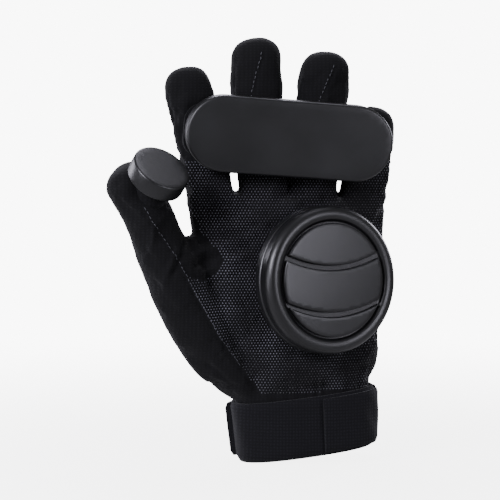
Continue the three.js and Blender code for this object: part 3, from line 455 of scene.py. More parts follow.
def webLoft(grow, sides):
    rings = []
    last = skinLook["webRings"] - 1
    for k in range(skinLook["webRings"]):
        up = webTable[0]["up"] + (webTable[-1]["up"] - webTable[0]["up"]) * k / last
        height = up * hand["palmLength"]
        along = 0
        while along < thumb["shaft"] and thumb["centre"](along)[2] < height:
            along += 0.5
        outer = thumb["centre"](along)
        palmEdge = handRing(up, 0, np.array([math.pi]))[0]
        across = palmEdge[0] + readTable(webTable, "up", "reach", up) * knuckleWidth
        inner = np.array([across, palmEdge[1] / 2, height])
        reach = (inner - outer) * (1, 1, 0)
        thick = unit((-reach[1], reach[0], 0))
        half = readTable(webTable, "up", "thick", up) * hand["thumbWidth"] / 2 + grow
        middle = (outer + inner) / 2 * (1, 1, 0) + (0, 0, height)
        c, t = rounded(np.arange(sides) * 2 * math.pi / sides, hand["power"])
        share = 0.5 + grow / np.linalg.norm(reach)
        rings.append(middle + np.outer(c, reach) * share + np.outer(t, thick) * half)
    return loft(rings)


def digitLoft(digit, grow, sides):
    angles = np.arange(sides) * 2 * math.pi / sides
    rings = []
    for along in np.linspace(digit["start"], digit["shaft"], skinLook["digitRings"]):
        slim = max(0, 1 - abs(along / digit["shaft"] - pinch["at"]) / pinch["reach"])
        narrower = 0 if digit is thumb else pinch["depth"] * slim
        rings.append(digitRing(digit, along, angles, 1, grow - narrower))
    for degrees in tipDegrees:
        swing = math.radians(degrees)
        rings.append(digitRing(digit, digit["shaft"], angles, math.cos(swing) ** 0.8, grow,
                               (digit["tip"] + grow) * math.sin(swing)))
    return loft(rings)


def makeSkin():
    angles = np.arange(skinLook["handSides"]) * 2 * math.pi / skinLook["handSides"]
    grow = skinLook["grow"]
    levels = np.linspace(skinLook["handFrom"], skinLook["handTo"], skinLook["handRings"])
    rings = [handRing(up, grow, angles) for up in levels]
    parts = [loft([rings[0] - (0, 0, skinLook["belowHand"]), *rings]), webLoft(grow, skinLook["webSides"])]
    parts += [digitLoft(digit, grow, skinLook["digitSides"]) for digit in [*digits, thumb]]
    points, faces = [], []
    for partPoints, partFaces in parts:
        first = sum(map(len, points))
        faces += [tuple(i + first for i in face) for face in partFaces]
        points.append(partPoints)
    raw = addMesh("skinForm", np.concatenate(points), faces)
    remesh = raw.modifiers.new("voxels", "REMESH")
    remesh.mode = "VOXEL"
    remesh.voxel_size = skinLook["voxel"] * metre
    smooth = raw.modifiers.new("smooth", "SMOOTH")
    smooth.factor = 0.5
    smooth.iterations = skinLook["smoothSteps"]
    return evaluated(raw)


skinPoints, skinFaces = makeSkin()
print("skin", len(skinPoints), "points")

# The cloth is a little larger than the hand: it is let go slack in a coarse cage, which buckles into
# soft folds between what holds it, and the fine skin follows the cage
slack = {"cageMm": 4.0, "frames": 18, "spare": 0.07, "pressure": 1.5, "capMm": 1.7, "sinkMm": 0.35,
         "quality": 6, "mass": 0.2, "stiffness": 12, "bending": 0.4, "cuffTop": 40, "cuffFade": 6,
         "heldFade": 3, "followed": 7, "nearMm": 0.6}
heldHand = [  # middle and radius: palm puck, then the guard's middle and ends
    ((-4, -30, 98), 34), ((-12, 22, 106), 30), ((-38, 20, 104), 22), ((16, 18, 104), 24),
]
# Each radius is also how far its middle lies from the finger's own
heldDigit = {"armourAt": 0.17, "armour": 12, "plateAt": 0.85, "plate": 10, "puckAt": 35, "puck": 12}
heldThumb = {"at": 0.9, "aside": (4, -10, 6), "radius": 11}


def heldPlaces():  # middle and radius of what is sewn on or stuck on
    places = list(heldHand)
    for digit in digits:
        armourAt, plateAt = heldDigit["armourAt"] * digit["shaft"], heldDigit["plateAt"] * digit["shaft"]
        back = digitFrame(digit, armourAt)[3]
        places.append((digit["centre"](armourAt) + back * heldDigit["armour"], heldDigit["armour"]))
        places.append((digit["centre"](plateAt) + back * heldDigit["plate"], heldDigit["plate"]))
        places.append((digit["centre"](heldDigit["puckAt"]) - back * heldDigit["puck"], heldDigit["puck"]))
    tip = thumb["centre"](heldThumb["at"] * thumb["shaft"]) + np.array(heldThumb["aside"])
    return [*places, (tip, heldThumb["radius"])]


def letSlack(points, faces):
    form = addMesh("cageForm", points, faces)
    remesh = form.modifiers.new("voxels", "REMESH")
    remesh.mode = "VOXEL"
    remesh.voxel_size = slack["cageMm"] * metre
    cage, cageFaces = evaluated(form)
    piece = addMesh("clothCage", cage, cageFaces)
    held = piece.vertex_groups.new(name="held")
    fade = slack["heldFade"]
    fixed = np.clip((slack["cuffTop"] - cage[:, 2]) / slack["cuffFade"], 0, 1)
    for place, radius in heldPlaces():
        away = np.linalg.norm(cage - place, axis=1)
        fixed = np.maximum(fixed, np.clip((radius + fade - away) / fade, 0, 1))
    for i in np.nonzero(fixed > 0)[0]:
        held.add([int(i)], float(fixed[i]), "REPLACE")
    cloth = piece.modifiers.new("slackCloth", "CLOTH")
    cloth.settings.quality = slack["quality"]
    cloth.settings.mass = slack["mass"]
    cloth.settings.tension_stiffness = slack["stiffness"]
    cloth.settings.compression_stiffness = slack["stiffness"]
    cloth.settings.bending_stiffness = slack["bending"]
    cloth.settings.vertex_group_mass = "held"
    cloth.settings.shrink_min = -slack["spare"]
    cloth.settings.use_pressure = True
    cloth.settings.uniform_pressure_force = slack["pressure"]
    cloth.settings.effector_weights.gravity = 0
    cloth.point_cache.frame_start, cloth.point_cache.frame_end = 1, slack["frames"]
    for step in range(1, slack["frames"] + 1):
        bpy.context.scene.frame_set(step)
    moved, _ = evaluated(piece)
    bpy.context.scene.frame_set(1)
    shift = moved - cage
    size = np.linalg.norm(shift, axis=1, keepdims=True)
    shift *= slack["capMm"] * np.tanh(size / slack["capMm"]) / np.maximum(size, 1e-6)
    shift -= vertexNormals(cage, cageFaces) * slack["sinkMm"] * (1 - fixed[:, None])
    tree = KDTree(len(cage))
    for i, p in enumerate(cage):
        tree.insert(p, i)
    tree.balance()
    follow = np.empty_like(points)
    for k, p in enumerate(points):
        near = tree.find_n(p, slack["followed"])
        share = np.array([1 / (away + slack["nearMm"]) ** 2 for _, _, away in near])
        follow[k] = (shift[[i for _, i, _ in near]] * share[:, None]).sum(0) / share.sum()
    return points + follow


skinPoints = letSlack(skinPoints, skinFaces)
print("cloth let slack")


# Seams and folds, as lines on the skin

def skinTree(points, faces):
    return BVHTree.FromPolygons(points.tolist(), faces)


skinBvh = skinTree(skinPoints, skinFaces)


def dropAlong(origin, direction):  # where a line first meets the skin
    hit = skinBvh.ray_cast(Vector(origin), Vector(direction))
    return (np.array(hit[0]), np.array(hit[1])) if hit[0] else (None, None)


lineStep = 0.5  # between the points of a line
outside = 90  # from the middle of the glove, clear of it on both sides


def lineOnHand(line, side):  # line of (x, z) seen from the palm (-1) or the back (1)
    found = []
    for (x0, z0), (x1, z1) in zip(line, line[1:]):
        count = max(int(math.hypot(x1 - x0, z1 - z0) / lineStep), 1)
        for k in range(count):
            x, z = x0 + (x1 - x0) * k / count, z0 + (z1 - z0) * k / count
            spot, normal = dropAlong((x, side * outside, z), (0, -side, 0))
            if spot is not None:
                found.append((spot, normal))
    return found


def lineOnDigit(digit, degrees, start, end, turn=0):  # shares of the stall, at an angle round it
    found = []
    length = digit["shaft"] + digit["tip"] * 0.8
    for along in np.arange(start * length, end * length, lineStep):
        centre, tangent, across, back = digitFrame(digit, min(along, digit["shaft"]))
        angle = math.radians(degrees + turn * ((along / length - start) / (end - start)) ** 2)
        c, s = math.cos(angle), math.sin(angle)
        over = max(along - digit["shaft"], 0)
        core = centre + tangent * over
        # from inside, so that no neighbour is met; what lies further out is not this stall
        spot, normal = dropAlong(core, across * c + back * s)
        if spot is not None and np.linalg.norm(spot - core) < 0.7 * digit["size"](along)[0]:
            found.append((spot, normal))
    return found


seams = {"depth": 0.55, "width": 0.75, "from": 0.02, "to": 0.86, "round": (156, 198, 24, -14)}
thumbSeam = [(-97, 141), (-92.5, 133), (-80, 116), (-69, 95), (-55, 70), (-40, 49), (-28, 33), (-20, 20)]
thumbPanelEdge = [(-92.5, 133), (-84, 126), (-75, 110), (-69, 103), (-62, 101), (-55, 104), (-50, 110)]
backSeam = [(-56, 120), (-52, 100), (-47, 80), (-43, 60), (-39, 44), (-36, 30)]
seamLines = [
    lineOnHand(thumbSeam, -1),
    lineOnHand(thumbPanelEdge, -1),
    lineOnHand(backSeam, 1),
]
for digit in digits:
    seamLines += [lineOnDigit(digit, degrees, seams["from"], seams["to"]) for degrees in seams["round"]]
# (stall, angle round it, from, to, how far the seam turns)
tipSeams = [(digits[1], 246, 0.5, 0.99, 52), (digits[2], 254, 0.5, 0.99, 46), (thumb, 15, 0.42, 0.95, 0)]
seamLines += [lineOnDigit(*seam) for seam in tipSeams]

folds = [  # (side, from, to, height, width)
    (-1, (-62, 121), (-30, 131), -1.6, 1.7), (-1, (-64, 115), (-32, 125), 1.5, 1.7),
    (-1, (-66, 109), (-35, 119), -1.6, 1.6), (-1, (-62, 104), (-38, 112), 1.3, 1.6),
    (-1, (-58, 98), (-38, 105), -1.3, 1.5), (-1, (-80, 104), (-72, 122), -0.9, 1.8),
    (-1, (-84, 100), (-77, 118), 0.8, 1.8), (-1, (-58, 52), (-44, 40), -0.9, 2.0),
    (-1, (-6, 141), (22, 139), -0.7, 1.8), (-1, (24, 136), (44, 131), -0.8, 1.8),
    (-1, (-45, 60), (-30, 78), -0.6, 2.5), (-1, (30, 52), (42, 60), 0.8, 2.0),
    (-1, (26, 47), (40, 50), -0.9, 2.0), (1, (-46, 42), (-24, 37), -2.2, 1.8),
    (1, (-44, 46), (-22, 42), 1.6, 1.8), (1, (-46, 51), (-30, 49), -1.0, 2.0),
    (1, (-58, 70), (-52, 52), -0.7, 2.5),
]


def lineTree(lines):
    spots = [spot for line in lines for spot, normal in line]
    tree = KDTree(len(spots))
    for i, spot in enumerate(spots):
        tree.insert(spot, i)
    tree.balance()
    return tree


def reliefOf(points, lines, width):  # 1 on a line, falling to 0 beside it
    tree = lineTree(lines)
    away = np.array([tree.find(p)[2] for p in points])
    return np.exp(-((away / width) ** 2))


drape = {"unevenMm": 0.6, "unevenLong": 17, "puckerMm": 0.16, "puckerLong": 5,
         "pleats": 26, "pleatMm": 0.55, "pleatFrom": 34, "pleatTo": 52, "pleatEven": 0.55,
         "pleatVaried": 0.9, "pleatLean": 0.05}


def unevenness(p):  # slack cloth is never quite even, and the cuff gathers it into pleats
    rise = drape["unevenMm"] * noise.noise(Vector(p) / drape["unevenLong"])
    rise += drape["puckerMm"] * noise.noise(Vector(p) / drape["puckerLong"])
    if p[2] < drape["pleatTo"]:
        fade = min(max((drape["pleatTo"] - p[2]) / (drape["pleatTo"] - drape["pleatFrom"]), 0), 1)
        turn = math.atan2(p[1], p[0])
        varied = noise.noise(Vector((math.cos(turn) * 2, math.sin(turn) * 2, 7)))
        strength = drape["pleatEven"] + drape["pleatVaried"] * varied
        wave = math.cos(drape["pleats"] * turn + p[2] * drape["pleatLean"])
        rise += drape["pleatMm"] * fade * strength * wave
    return rise


normals = vertexNormals(skinPoints, skinFaces)
lift = -seams["depth"] * reliefOf(skinPoints, seamLines, seams["width"])
for side, start, end, height, width in folds:
    lift += height * reliefOf(skinPoints, [lineOnHand([start, end], side)], width)
lift += np.array([unevenness(p) for p in skinPoints])
skinPoints = skinPoints + normals * lift[:, None]
skinNormals = vertexNormals(skinPoints, skinFaces)
skinBvh = skinTree(skinPoints, skinFaces)
print("seams", len(seamLines), "folds", len(folds))


# The skin is cut into its sewn pieces along those lines

def insidePolygon(x, z, polygon):  # signed distance, positive inside
    px, pz = np.array(polygon).T
    qx, qz = np.roll(px, -1), np.roll(pz, -1)
    inside = np.zeros(len(x), bool)
    nearest = np.full(len(x), 1e9)
    for ax, az, bx, bz in zip(px, pz, qx, qz):
        t = np.clip(((x - ax) * (bx - ax) + (z - az) * (bz - az)) / ((bx - ax) ** 2 + (bz - az) ** 2), 0, 1)
        nearest = np.minimum(nearest, np.hypot(x - ax - t * (bx - ax), z - az - t * (bz - az)))
        crosses = (az > z) != (bz > z)
        with np.errstate(divide="ignore", invalid="ignore"):
            inside ^= crosses & (x < (bx - ax) * (z - az) / (bz - az) + ax)
    return np.where(inside, nearest, -nearest)


def splitFaces(points, faces, field):  # cuts faces where the field is zero
    points, field = list(points), list(field)
    made, over, under = {}, [], []

    def crossing(a, b):
        key = (min(a, b), max(a, b))
        if key not in made:
            t = field[key[0]] / (field[key[0]] - field[key[1]])
            points.append(points[key[0]] * (1 - t) + points[key[1]] * t)
            field.append(0.0)
            made[key] = len(points) - 1
        return made[key]

    for face in faces:
        signs = [field[i] >= 0 for i in face]
        if all(signs):
            over.append(face)
        elif not any(signs):
            under.append(face)
        else:
            high, low = [], []
            for k, a in enumerate(face):
                b = face[(k + 1) % len(face)]
                (high if signs[k] else low).append(a)
                if signs[k] != signs[(k + 1) % len(face)]:
                    cut = crossing(a, b)
                    high.append(cut)
                    low.append(cut)
            if len(high) > 2:
                over.append(tuple(high))
            if len(low) > 2:
                under.append(tuple(low))
    return np.array(points), over, under


cuts = {"webLine": 145.5, "thumbSide": 84, "thumbLevel": 145, "thumbSlope": 0.3, "seamSlope": 0.1,
        "frontStep": 1, "fingersTo": 30}
palmOutline = [*thumbSeam[::-1], (-92.5, 133), *thumbPanelEdge[1:], (-47, 116), (-60, 124), (-75, 160),
               (-75, 300), (90, 300), (90, -40), (-60, -40), (-60, -10), (-26, -10)]


def trimmed(points, faces):  # keeps only the points in use
    used = sorted({i for face in faces for i in face})
    to = {old: new for new, old in enumerate(used)}
    return points[used], [tuple(to[i] for i in face) for face in faces]


def clothPiece(name, cloth, faces, material, slotName, *nodes):
    # the wall is made here, so that its shading runs on unbroken over the cuts
    cloth, faces = trimmed(cloth, faces)
    outer, facing = cloth[:, :3], cloth[:, 3:]
    facing = facing / np.linalg.norm(facing, axis=1, keepdims=True)
    count = len(outer)
    edges = {edge for face in faces for edge in zip(face, face[1:] + face[:1])}
    rim = [(b, a, a + count, b + count) for a, b in sorted(edges) if (b, a) not in edges]
    within = [tuple(i + count for i in face[::-1]) for face in faces]
    points = np.concatenate([outer, outer - facing * skinLook["clothThick"]])
    piece = addMesh(name, points, faces + within + rim, material)
    shading = [facing[i] for face in faces for i in face]
    shading += [-facing[i - count] for face in within for i in face]
    for b, a, c, d in rim:
        side = np.cross(points[a] - points[b], points[d] - points[b])
        shading += [side / max(np.linalg.norm(side), 1e-9)] * 4
    piece.data.normals_split_custom_set([tuple(n) for n in shading])
    return finished(piece, slotName, *nodes)


def between(low, high, along):  # a point between two neighbouring fingers
    a, b = low["centre"](along), high["centre"](along)
    ra, rb = low["size"](0)[0], high["size"](0)[0]
    return a + (b - a) * ra / (ra + rb)


def cutSkin():
    points = np.hstack([skinPoints, skinNormals])
    opening = points[:, 2] - skinLook["handFrom"] * hand["palmLength"] - points[:, 0] * hand["openingTilt"]
    points, faces, _ = splitFaces(points, skinFaces, opening)
    pastThumb = points[:, 0] + cuts["thumbSide"] + (points[:, 2] - cuts["thumbLevel"]) * cuts["thumbSlope"]
    pastWebs = points[:, 2] - cuts["webLine"]
    points, fingerFaces, faces = splitFaces(points, faces, np.minimum(pastWebs, pastThumb))
    seamY = points[:, 0] * cuts["seamSlope"]
    inPalm = insidePolygon(points[:, 0], points[:, 2], palmOutline)
    points, palmFaces, faces = splitFaces(points, faces, np.minimum(inPalm, seamY - points[:, 1]))
    backX = np.interp(points[:, 2], [z for x, z in backSeam[::-1]], [x for x, z in backSeam[::-1]])
    seamY = points[:, 0] * cuts["seamSlope"]
    inFront = np.minimum(seamY - points[:, 1] - cuts["frontStep"], -points[:, 0])
    thumbField = np.maximum(backX - points[:, 0], inFront)
    points, thumbFaces, backFaces = splitFaces(points, faces, thumbField)
    clothPiece("palmCloth", points, palmFaces, gripKnit, "grip", "palm_panel")
    clothPiece("backCloth", points, backFaces, stretchKnit, "cloth", "back_panel")
    clothPiece("thumbCloth", points, thumbFaces, stretchKnit, "cloth", "stall_thumb")
    for i, digit in enumerate(digits):
        faces = fingerFaces
        for k, other in enumerate(digits):
            if abs(i - k) != 1:
                continue
            low, high = (digit, other) if i < k else (other, digit)
            m0, m1 = between(low, high, 0), between(low, high, cuts["fingersTo"])
            middle = m0[0] + (m1[0] - m0[0]) * (points[:, 2] - m0[2]) / (m1[2] - m0[2])
            field = (middle - points[:, 0]) * (1 if i < k else -1)
            points, faces, _ = splitFaces(points, faces, field)
        clothPiece("stall" + digit["name"].capitalize(), points, faces, stretchKnit, "cloth",
                   "stall_" + digit["name"])


cutSkin()
print("skin cut into its pieces")


# Grip dots printed on the palm and the lower fingers

gripDots = {"pitch": 1.75, "radius": 0.46, "height": 0.32, "sides": 6, "lowest": 34, "highest": 168,
            "fromEdge": 0.8, "fromPuck": 34, "steepest": -0.35, "varied": 0.3, "patchMm": 14,
            "smallest": 0.88, "largest": 1.08, "shoulder": 0.72}
closeRows = 0.866  # from row to row of a triangular net, as a share of its spacing
gripOutline = [
    (-28, 34), (-40, 50), (-55, 71), (-69, 96), (-80, 117), (-91, 132), (-84, 124), (-75, 110), (-69, 103),
    (-62, 101), (-54, 104), (-50, 112), (-62, 126), (-72, 150), (-80, 178), (52, 178), (52, 36), (-20, 34),
]
# Where the palm puck sits, which the dots keep clear of
palmPuckPlace = {"across": -0.035, "up": 0.723, "turn": 20, "rise": 3}
turn, rise = math.radians(palmPuckPlace["turn"]), math.radians(palmPuckPlace["rise"])
palmPuckSpot = placeFrame(
    (palmPuckPlace["across"] * knuckleWidth, 0, palmPuckPlace["up"] * hand["palmLength"]),
    (math.sin(turn) * math.cos(rise), -math.cos(turn) * math.cos(rise), math.sin(rise)))


def addGripDots():
    rng = np.random.default_rng(4)
    points, faces = [], []
    pitch, sides = gripDots["pitch"], gripDots["sides"]
    rows = int((gripDots["highest"] - gripDots["lowest"]) / (pitch * closeRows))
    for row in range(rows):
        z = gripDots["lowest"] + row * pitch * closeRows
        xs = np.arange(-95, 50, pitch) + (row % 2) * pitch / 2
        keep = insidePolygon(xs, np.full(len(xs), z), gripOutline) > gripDots["fromEdge"]
        for x in xs[keep]:
            spot, normal = dropAlong((x, -outside, z), (0, 1, 0))
            if spot is None or normal[1] > gripDots["steepest"]:
                continue
            local = (spot - palmPuckSpot[1]) @ palmPuckSpot[0]
            if math.hypot(local[0], local[1]) < gripDots["fromPuck"]:
                continue
            side = unit(np.cross(normal, (0, 0, 1)))
            up = np.cross(side, normal)
            patch = 1 + gripDots["varied"] * noise.noise(Vector(spot) / gripDots["patchMm"])
            size = gripDots["radius"] * patch * rng.uniform(gripDots["smallest"], gripDots["largest"])
            start = len(points)
            for scale, lifted in ((1, -0.1), (gripDots["shoulder"], gripDots["height"] * 0.75)):
                for k in range(sides):
                    a = 2 * math.pi * k / sides
                    ray = side * math.cos(a) + up * math.sin(a)
                    points.append(spot + ray * size * scale + normal * lifted)
            points.append(spot + normal * gripDots["height"])
            for k in range(sides):
                j = (k + 1) % sides
                faces.append((start + k, start + j, start + sides + j, start + sides + k))
                faces.append((start + sides + k, start + sides + j, start + 2 * sides))
    print("grip dots", len(points) // (2 * sides + 1))
    return finished(addMesh("gripDots", points, faces, siliconeDotsPaintedGlint), "grip")


addGripDots()


# Stitches: short twisted bars along a seam

def addStitches(name, lines, look, material):
    points, faces = [], []
    for line in lines:
        spots = np.array([spot for spot, normal in line])
        ups = np.array([normal for spot, normal in line])
        if len(spots) < 4:
            continue
        run = np.concatenate([[0], np.cumsum(np.linalg.norm(np.diff(spots, axis=0), axis=1))])
        for at in np.arange(look["pitch"] / 2, run[-1] - look["pitch"] / 2, look["pitch"]):
            k = min(int(np.searchsorted(run, at)), len(spots) - 2)
            along = unit(spots[min(k + 1, len(spots) - 1)] - spots[max(k - 1, 0)])
            up = unit(ups[k])
            across = np.cross(up, along)
            middle = spots[k]
            if look["aside"]:  # beside the seam's groove, back on the cloth
                found = skinBvh.find_nearest(Vector(middle + across * look["aside"] + up))
                middle, up = np.array(found[0]), np.array(found[1])
                across = unit(np.cross(up, along))
            middle = middle + up * look["lift"]
            start = len(points)
            for share, scale in ((-0.5, 0.35), (-0.3, 1), (0.3, 1), (0.5, 0.35)):
                sink = -look["thick"] * 1.2 if abs(share) == 0.5 else 0
                for c, s in ((1, 0), (0.5, 0.87), (-0.5, 0.87), (-1, 0), (0, -0.5)):
                    points.append(middle + along * share * look["long"]
                                  + (across * c + up * s) * look["thick"] * scale + up * sink)
            for first in range(start, start + 15, 5):
                faces += bandFaces(first, first + 5, 5)
    return finished(addMesh(name, points, faces, material), "cloth")


seamStitch = {"pitch": 2.7, "long": 2.0, "thick": 0.24, "aside": 1.6, "lift": 0.12}
addStitches("seamStitches", [lineOnHand(thumbSeam[:-2], -1)], seamStitch, thread)
addStitches("fingerStitches", [lineOnDigit(*seam) for seam in tipSeams], seamStitch, thread)


# Closed forms laid on the skin or on a plane

def stadium(length, width, steps):
    reach, radius = (length - width) / 2, width / 2
    turns = np.linspace(-math.pi / 2, math.pi / 2, steps)
    right = [(reach + radius * math.cos(a), radius * math.sin(a)) for a in turns]
    straight = max(int(2 * reach / 2.0), 1)
    top = [(reach - 2 * reach * k / straight, radius) for k in range(1, straight)]
    left = [(-x, -y) for x, y in right]
    low = [(-reach + 2 * reach * k / straight, -radius) for k in range(1, straight)]
    return np.array(right + top + left + low)


def circle(radius, steps):
    angles = np.arange(steps) * 2 * math.pi / steps
    return np.stack([radius * np.cos(angles), radius * np.sin(angles)], 1)


def eased(outline, step):  # a closed smooth curve through the outline's points
    points = np.asarray(outline, float)
    found = []
    for i in range(len(points)):
        p0, p1, p2, p3 = (points[(i + k) % len(points)] for k in (-1, 0, 1, 2))
        count = max(int(np.linalg.norm(p2 - p1) / step), 1)
        for k in range(count):
            t = k / count
            found.append(0.5 * (2 * p1 + (p2 - p0) * t + (2 * p0 - 5 * p1 + 4 * p2 - p3) * t**2
                                + (3 * p1 - p0 - 3 * p2 + p3) * t**3))
    return np.array(found)


def inset(outline, distance):
    before, after = np.roll(outline, 1, 0), np.roll(outline, -1, 0)
    along = after - before
    along /= np.maximum(np.linalg.norm(along, axis=1, keepdims=True), 1e-9)
    return outline + np.stack([-along[:, 1], along[:, 0]], 1) * distance


castFrom = 70  # above a frame's middle, clear of the cloth under it


def onSkin(spot):  # level of the skin at a place of a frame
    def level(x, y):
        start = toWorld(spot, (x, y, castFrom))
        found, normal = dropAlong(start, -spot[0][:, 2])
        if found is None:
            found = np.array(skinBvh.find_nearest(Vector(toWorld(spot, (x, y, 0))))[0])
        return (found - spot[1]) @ spot[0][:, 2]
    return level


def layOn(spot, outline, rim, heightAt, baseAt, spacing, foot=-0.4):
    # rim is a list of (inset, share of the height); the rest is filled with a fine net
    outline = np.asarray(outline, float)
    area = np.sum(outline[:, 0] * np.roll(outline[:, 1], -1) - np.roll(outline[:, 0], -1) * outline[:, 1])
    if area < 0:
        outline = outline[::-1]
    count = len(outline)
    points, faces = [], []
    for distance, share in rim:
        for x, y in inset(outline, distance):
            top = heightAt(x, y, distance)
            points.append((x, y, baseAt(x, y) + foot + (top - foot) * share))
    for r in range(len(rim) - 1):
        faces += bandFaces(r * count, (r + 1) * count, count)
    ring = inset(outline, rim[-1][0])
    low, high = ring.min(0), ring.max(0)
    net = []
    for row, y in enumerate(np.arange(low[1], high[1], spacing * closeRows)):
        net += [(x, y) for x in np.arange(low[0] + (row % 2) * spacing / 2, high[0], spacing)]
    net = np.array(net) if net else np.zeros((0, 2))
    if len(net):
        net = net[insidePolygon(net[:, 0], net[:, 1], ring) > spacing * 0.5]
    flat = [Vector(p) for p in ring] + [Vector(p) for p in net]
    found, _, cells, origins, _, _ = geometry.delaunay_2d_cdt(flat, [], [list(range(count))], 1, 1e-5)
    spots = np.array([tuple(p) for p in found])
    away = insidePolygon(spots[:, 0], spots[:, 1], outline)
    index = []
    for i, (x, y) in enumerate(spots):
        known = [k for k in origins[i] if k < count]
        if known:
            index.append((len(rim) - 1) * count + known[0])
        else:
            points.append((x, y, baseAt(x, y) + heightAt(x, y, max(away[i], rim[-1][0]))))
            index.append(len(points) - 1)
    faces += [tuple(index[k] for k in cell) for cell in cells]
    return toWorld(spot, np.array(points)), faces


def lathe(spot, profile):
    sides = 160
    angles = np.arange(sides) * 2 * math.pi / sides
    rings = [np.stack([r * np.cos(angles), r * np.sin(angles), np.full(sides, z)], 1) for r, z in profile]
    points, faces = loft(rings)
    return toWorld(spot, points), faces


def roundedProfile(corners, steps=6):  # (radius, level, fillet) corners to a smooth profile
    made = []
    for i, (r, z, fillet) in enumerate(corners):
        if not fillet or i in (0, len(corners) - 1):
            made.append((r, z))
            continue
        here, before, after = (np.array(corners[k][:2], float) for k in (i, i - 1, i + 1))
        a, b = here + unit(before - here) * fillet, here + unit(after - here) * fillet
        for k in range(steps + 1):
            t = k / steps
            made.append(tuple((1 - t) ** 2 * a + 2 * t * (1 - t) * here + t * t * b))
    return made


# Palm puck: a base ring, a disc with a rounded raised rim and three plain raised pads

palmPuck = {"diameter": 83, "rimWidth": 8.6, "floorDepth": 3.0, "crown": 1.6, "channel": 2.6, "bow": 6.2,
            "reach": 13.0, "padGap": 1.1, "padSunk": 1.1}
padEdge = [(0, 0), (0.02, 0.72), (0.12, 0.86), (0.35, 0.95), (0.75, 1)]


def padOutlines(radius):
    half, bow = palmPuck["channel"] / 2, palmPuck["bow"]

    def chord(level, flip):
        wide = math.sqrt(radius**2 - level**2)
        line = [(wide * s, level - bow * (1 - s * s)) for s in np.linspace(-1, 1, 36)]
        return line[::-1] if flip else line

    def arc(start, end):
        return [(radius * math.cos(a), radius * math.sin(a)) for a in np.linspace(start, end, 40)][1:-1]

    def at(level):
        return math.asin(level / radius)

    low, high = -palmPuck["reach"], palmPuck["reach"]
    top = chord(high + half, False) + arc(at(high + half), math.pi - at(high + half))
    middle = (chord(low + half, False) + arc(at(low + half), at(high - half)) + chord(high - half, True)
              + arc(math.pi - at(high - half), math.pi - at(low + half)))
    base = chord(low - half, True) + arc(math.pi - at(low - half), 2 * math.pi + at(low - half))
    return [top, middle, base]


def addPalmPuck():
    radius = palmPuck["diameter"] / 2
    low, high = nodeSpan("palm_puck_base", palmPuckSpot)
    base = roundedProfile([(0, low, 0), (radius - 1.8, low, 1.0), (radius, low + 2.2, 1.2),
                           (radius, high - 0.8, 0.6), (radius - 0.7, high, 0.3), (0, high, 0)])
    finished(addMesh("palmPuckBase", *lathe(palmPuckSpot, base), mouldedHdpe, 40), "puck", "palm_puck_base")
    low, high = nodeSpan("palm_puck", palmPuckSpot)
    rim, floor = palmPuck["rimWidth"], high - palmPuck["floorDepth"]
    disc = roundedProfile([(0, low, 0), (radius - 0.9, low, 0.4), (radius, low + 0.9, 0.4),
                           (radius, high - 3.2, 2.8), (radius - 3.8, high + 0.1, 3.0),
                           (radius - rim + 0.9, high - 1.2, 1.2), (radius - rim, floor, 0.7),
                           (0, floor, 0)], 8)
    points, faces = lathe(palmPuckSpot, disc)

    def padHeight(x, y, d):
        crown = palmPuck["crown"] * (1 - (x * x + y * y) / radius**2)
        return palmPuck["floorDepth"] - palmPuck["padSunk"] + crown

    for outline in padOutlines(radius - rim - palmPuck["padGap"]):
        padPoints, padFaces = layOn(palmPuckSpot, eased(outline, 0.9), padEdge, padHeight,
                                    lambda x, y: floor, 1.6, -0.3)
        faces = faces + [tuple(i + len(points) for i in face) for face in padFaces]
        points = np.concatenate([points, padPoints])
    finished(addMesh("palmPuckDisc", points, faces, mouldedHdpe, 50), "puck", "palm_puck")


addPalmPuck()


# Finger puck and thumb puck: plain satin blocks with a fine rounded edge

fingerPuck = {"long": 117, "wide": 43, "edge": 1.7, "tilt": -4.2, "nod": 6}
thumbPuck = {"diameter": 32.5, "edge": 1.2, "facing": (0.358, -0.616, 0.705), "along": 0.9}
nod = math.radians(fingerPuck["nod"])
fingerPuckSpot = placeFrame((-0.108 * knuckleWidth, 0, 1.335 * hand["palmLength"]),
                            (0, -math.cos(nod), -math.sin(nod)), fingerPuck["tilt"])
thumbPuckSpot = placeFrame(thumb["centre"](thumbPuck["along"] * thumb["shaft"]), thumbPuck["facing"])


def addBlockPuck(name, spot, outline, edge, node):
    low, high = nodeSpan(node, spot)
    tall = high - low
    rim = [(edge * 0.5, 0), (edge * 0.12, 0.03), (0, 0.09), (0, 1 - edge / tall),
           (edge * 0.08, 1 - 0.62 * edge / tall), (edge * 0.3, 1 - 0.3 * edge / tall),
           (edge * 0.62, 1 - 0.08 * edge / tall), (edge, 1)]
    points, faces = layOn(spot, outline, rim, lambda x, y, d: tall, lambda x, y: low, 3, 0)
    finished(addMesh(name, points, faces, mouldedHdpe, 50), "puck", node)


addBlockPuck("fingerPuckBlock", fingerPuckSpot, stadium(fingerPuck["long"], fingerPuck["wide"], 48),
             fingerPuck["edge"], "finger_puck")
addBlockPuck("thumbPuckBlock", thumbPuckSpot, circle(thumbPuck["diameter"] / 2, 96),
             thumbPuck["edge"], "thumb_puck")
print("pucks made")


# Hook pads under the pucks

hookPad = {"palmRadius": 33, "thumbRadius": 11, "long": 30, "wide": 19.4, "thinnest": 0.2}


def addHookPad(name, spot, outline, node):
    high = nodeSpan(node, spot)[1]
    base = onSkin(spot)
    points, faces = layOn(spot, outline, [(0, 0), (0, 0.9), (0.4, 1)],
                          lambda x, y, d: max(high - base(x, y), hookPad["thinnest"]), base, 3, -0.5)
    finished(addMesh(name, points, faces, hookTape, 40), "hook", node)


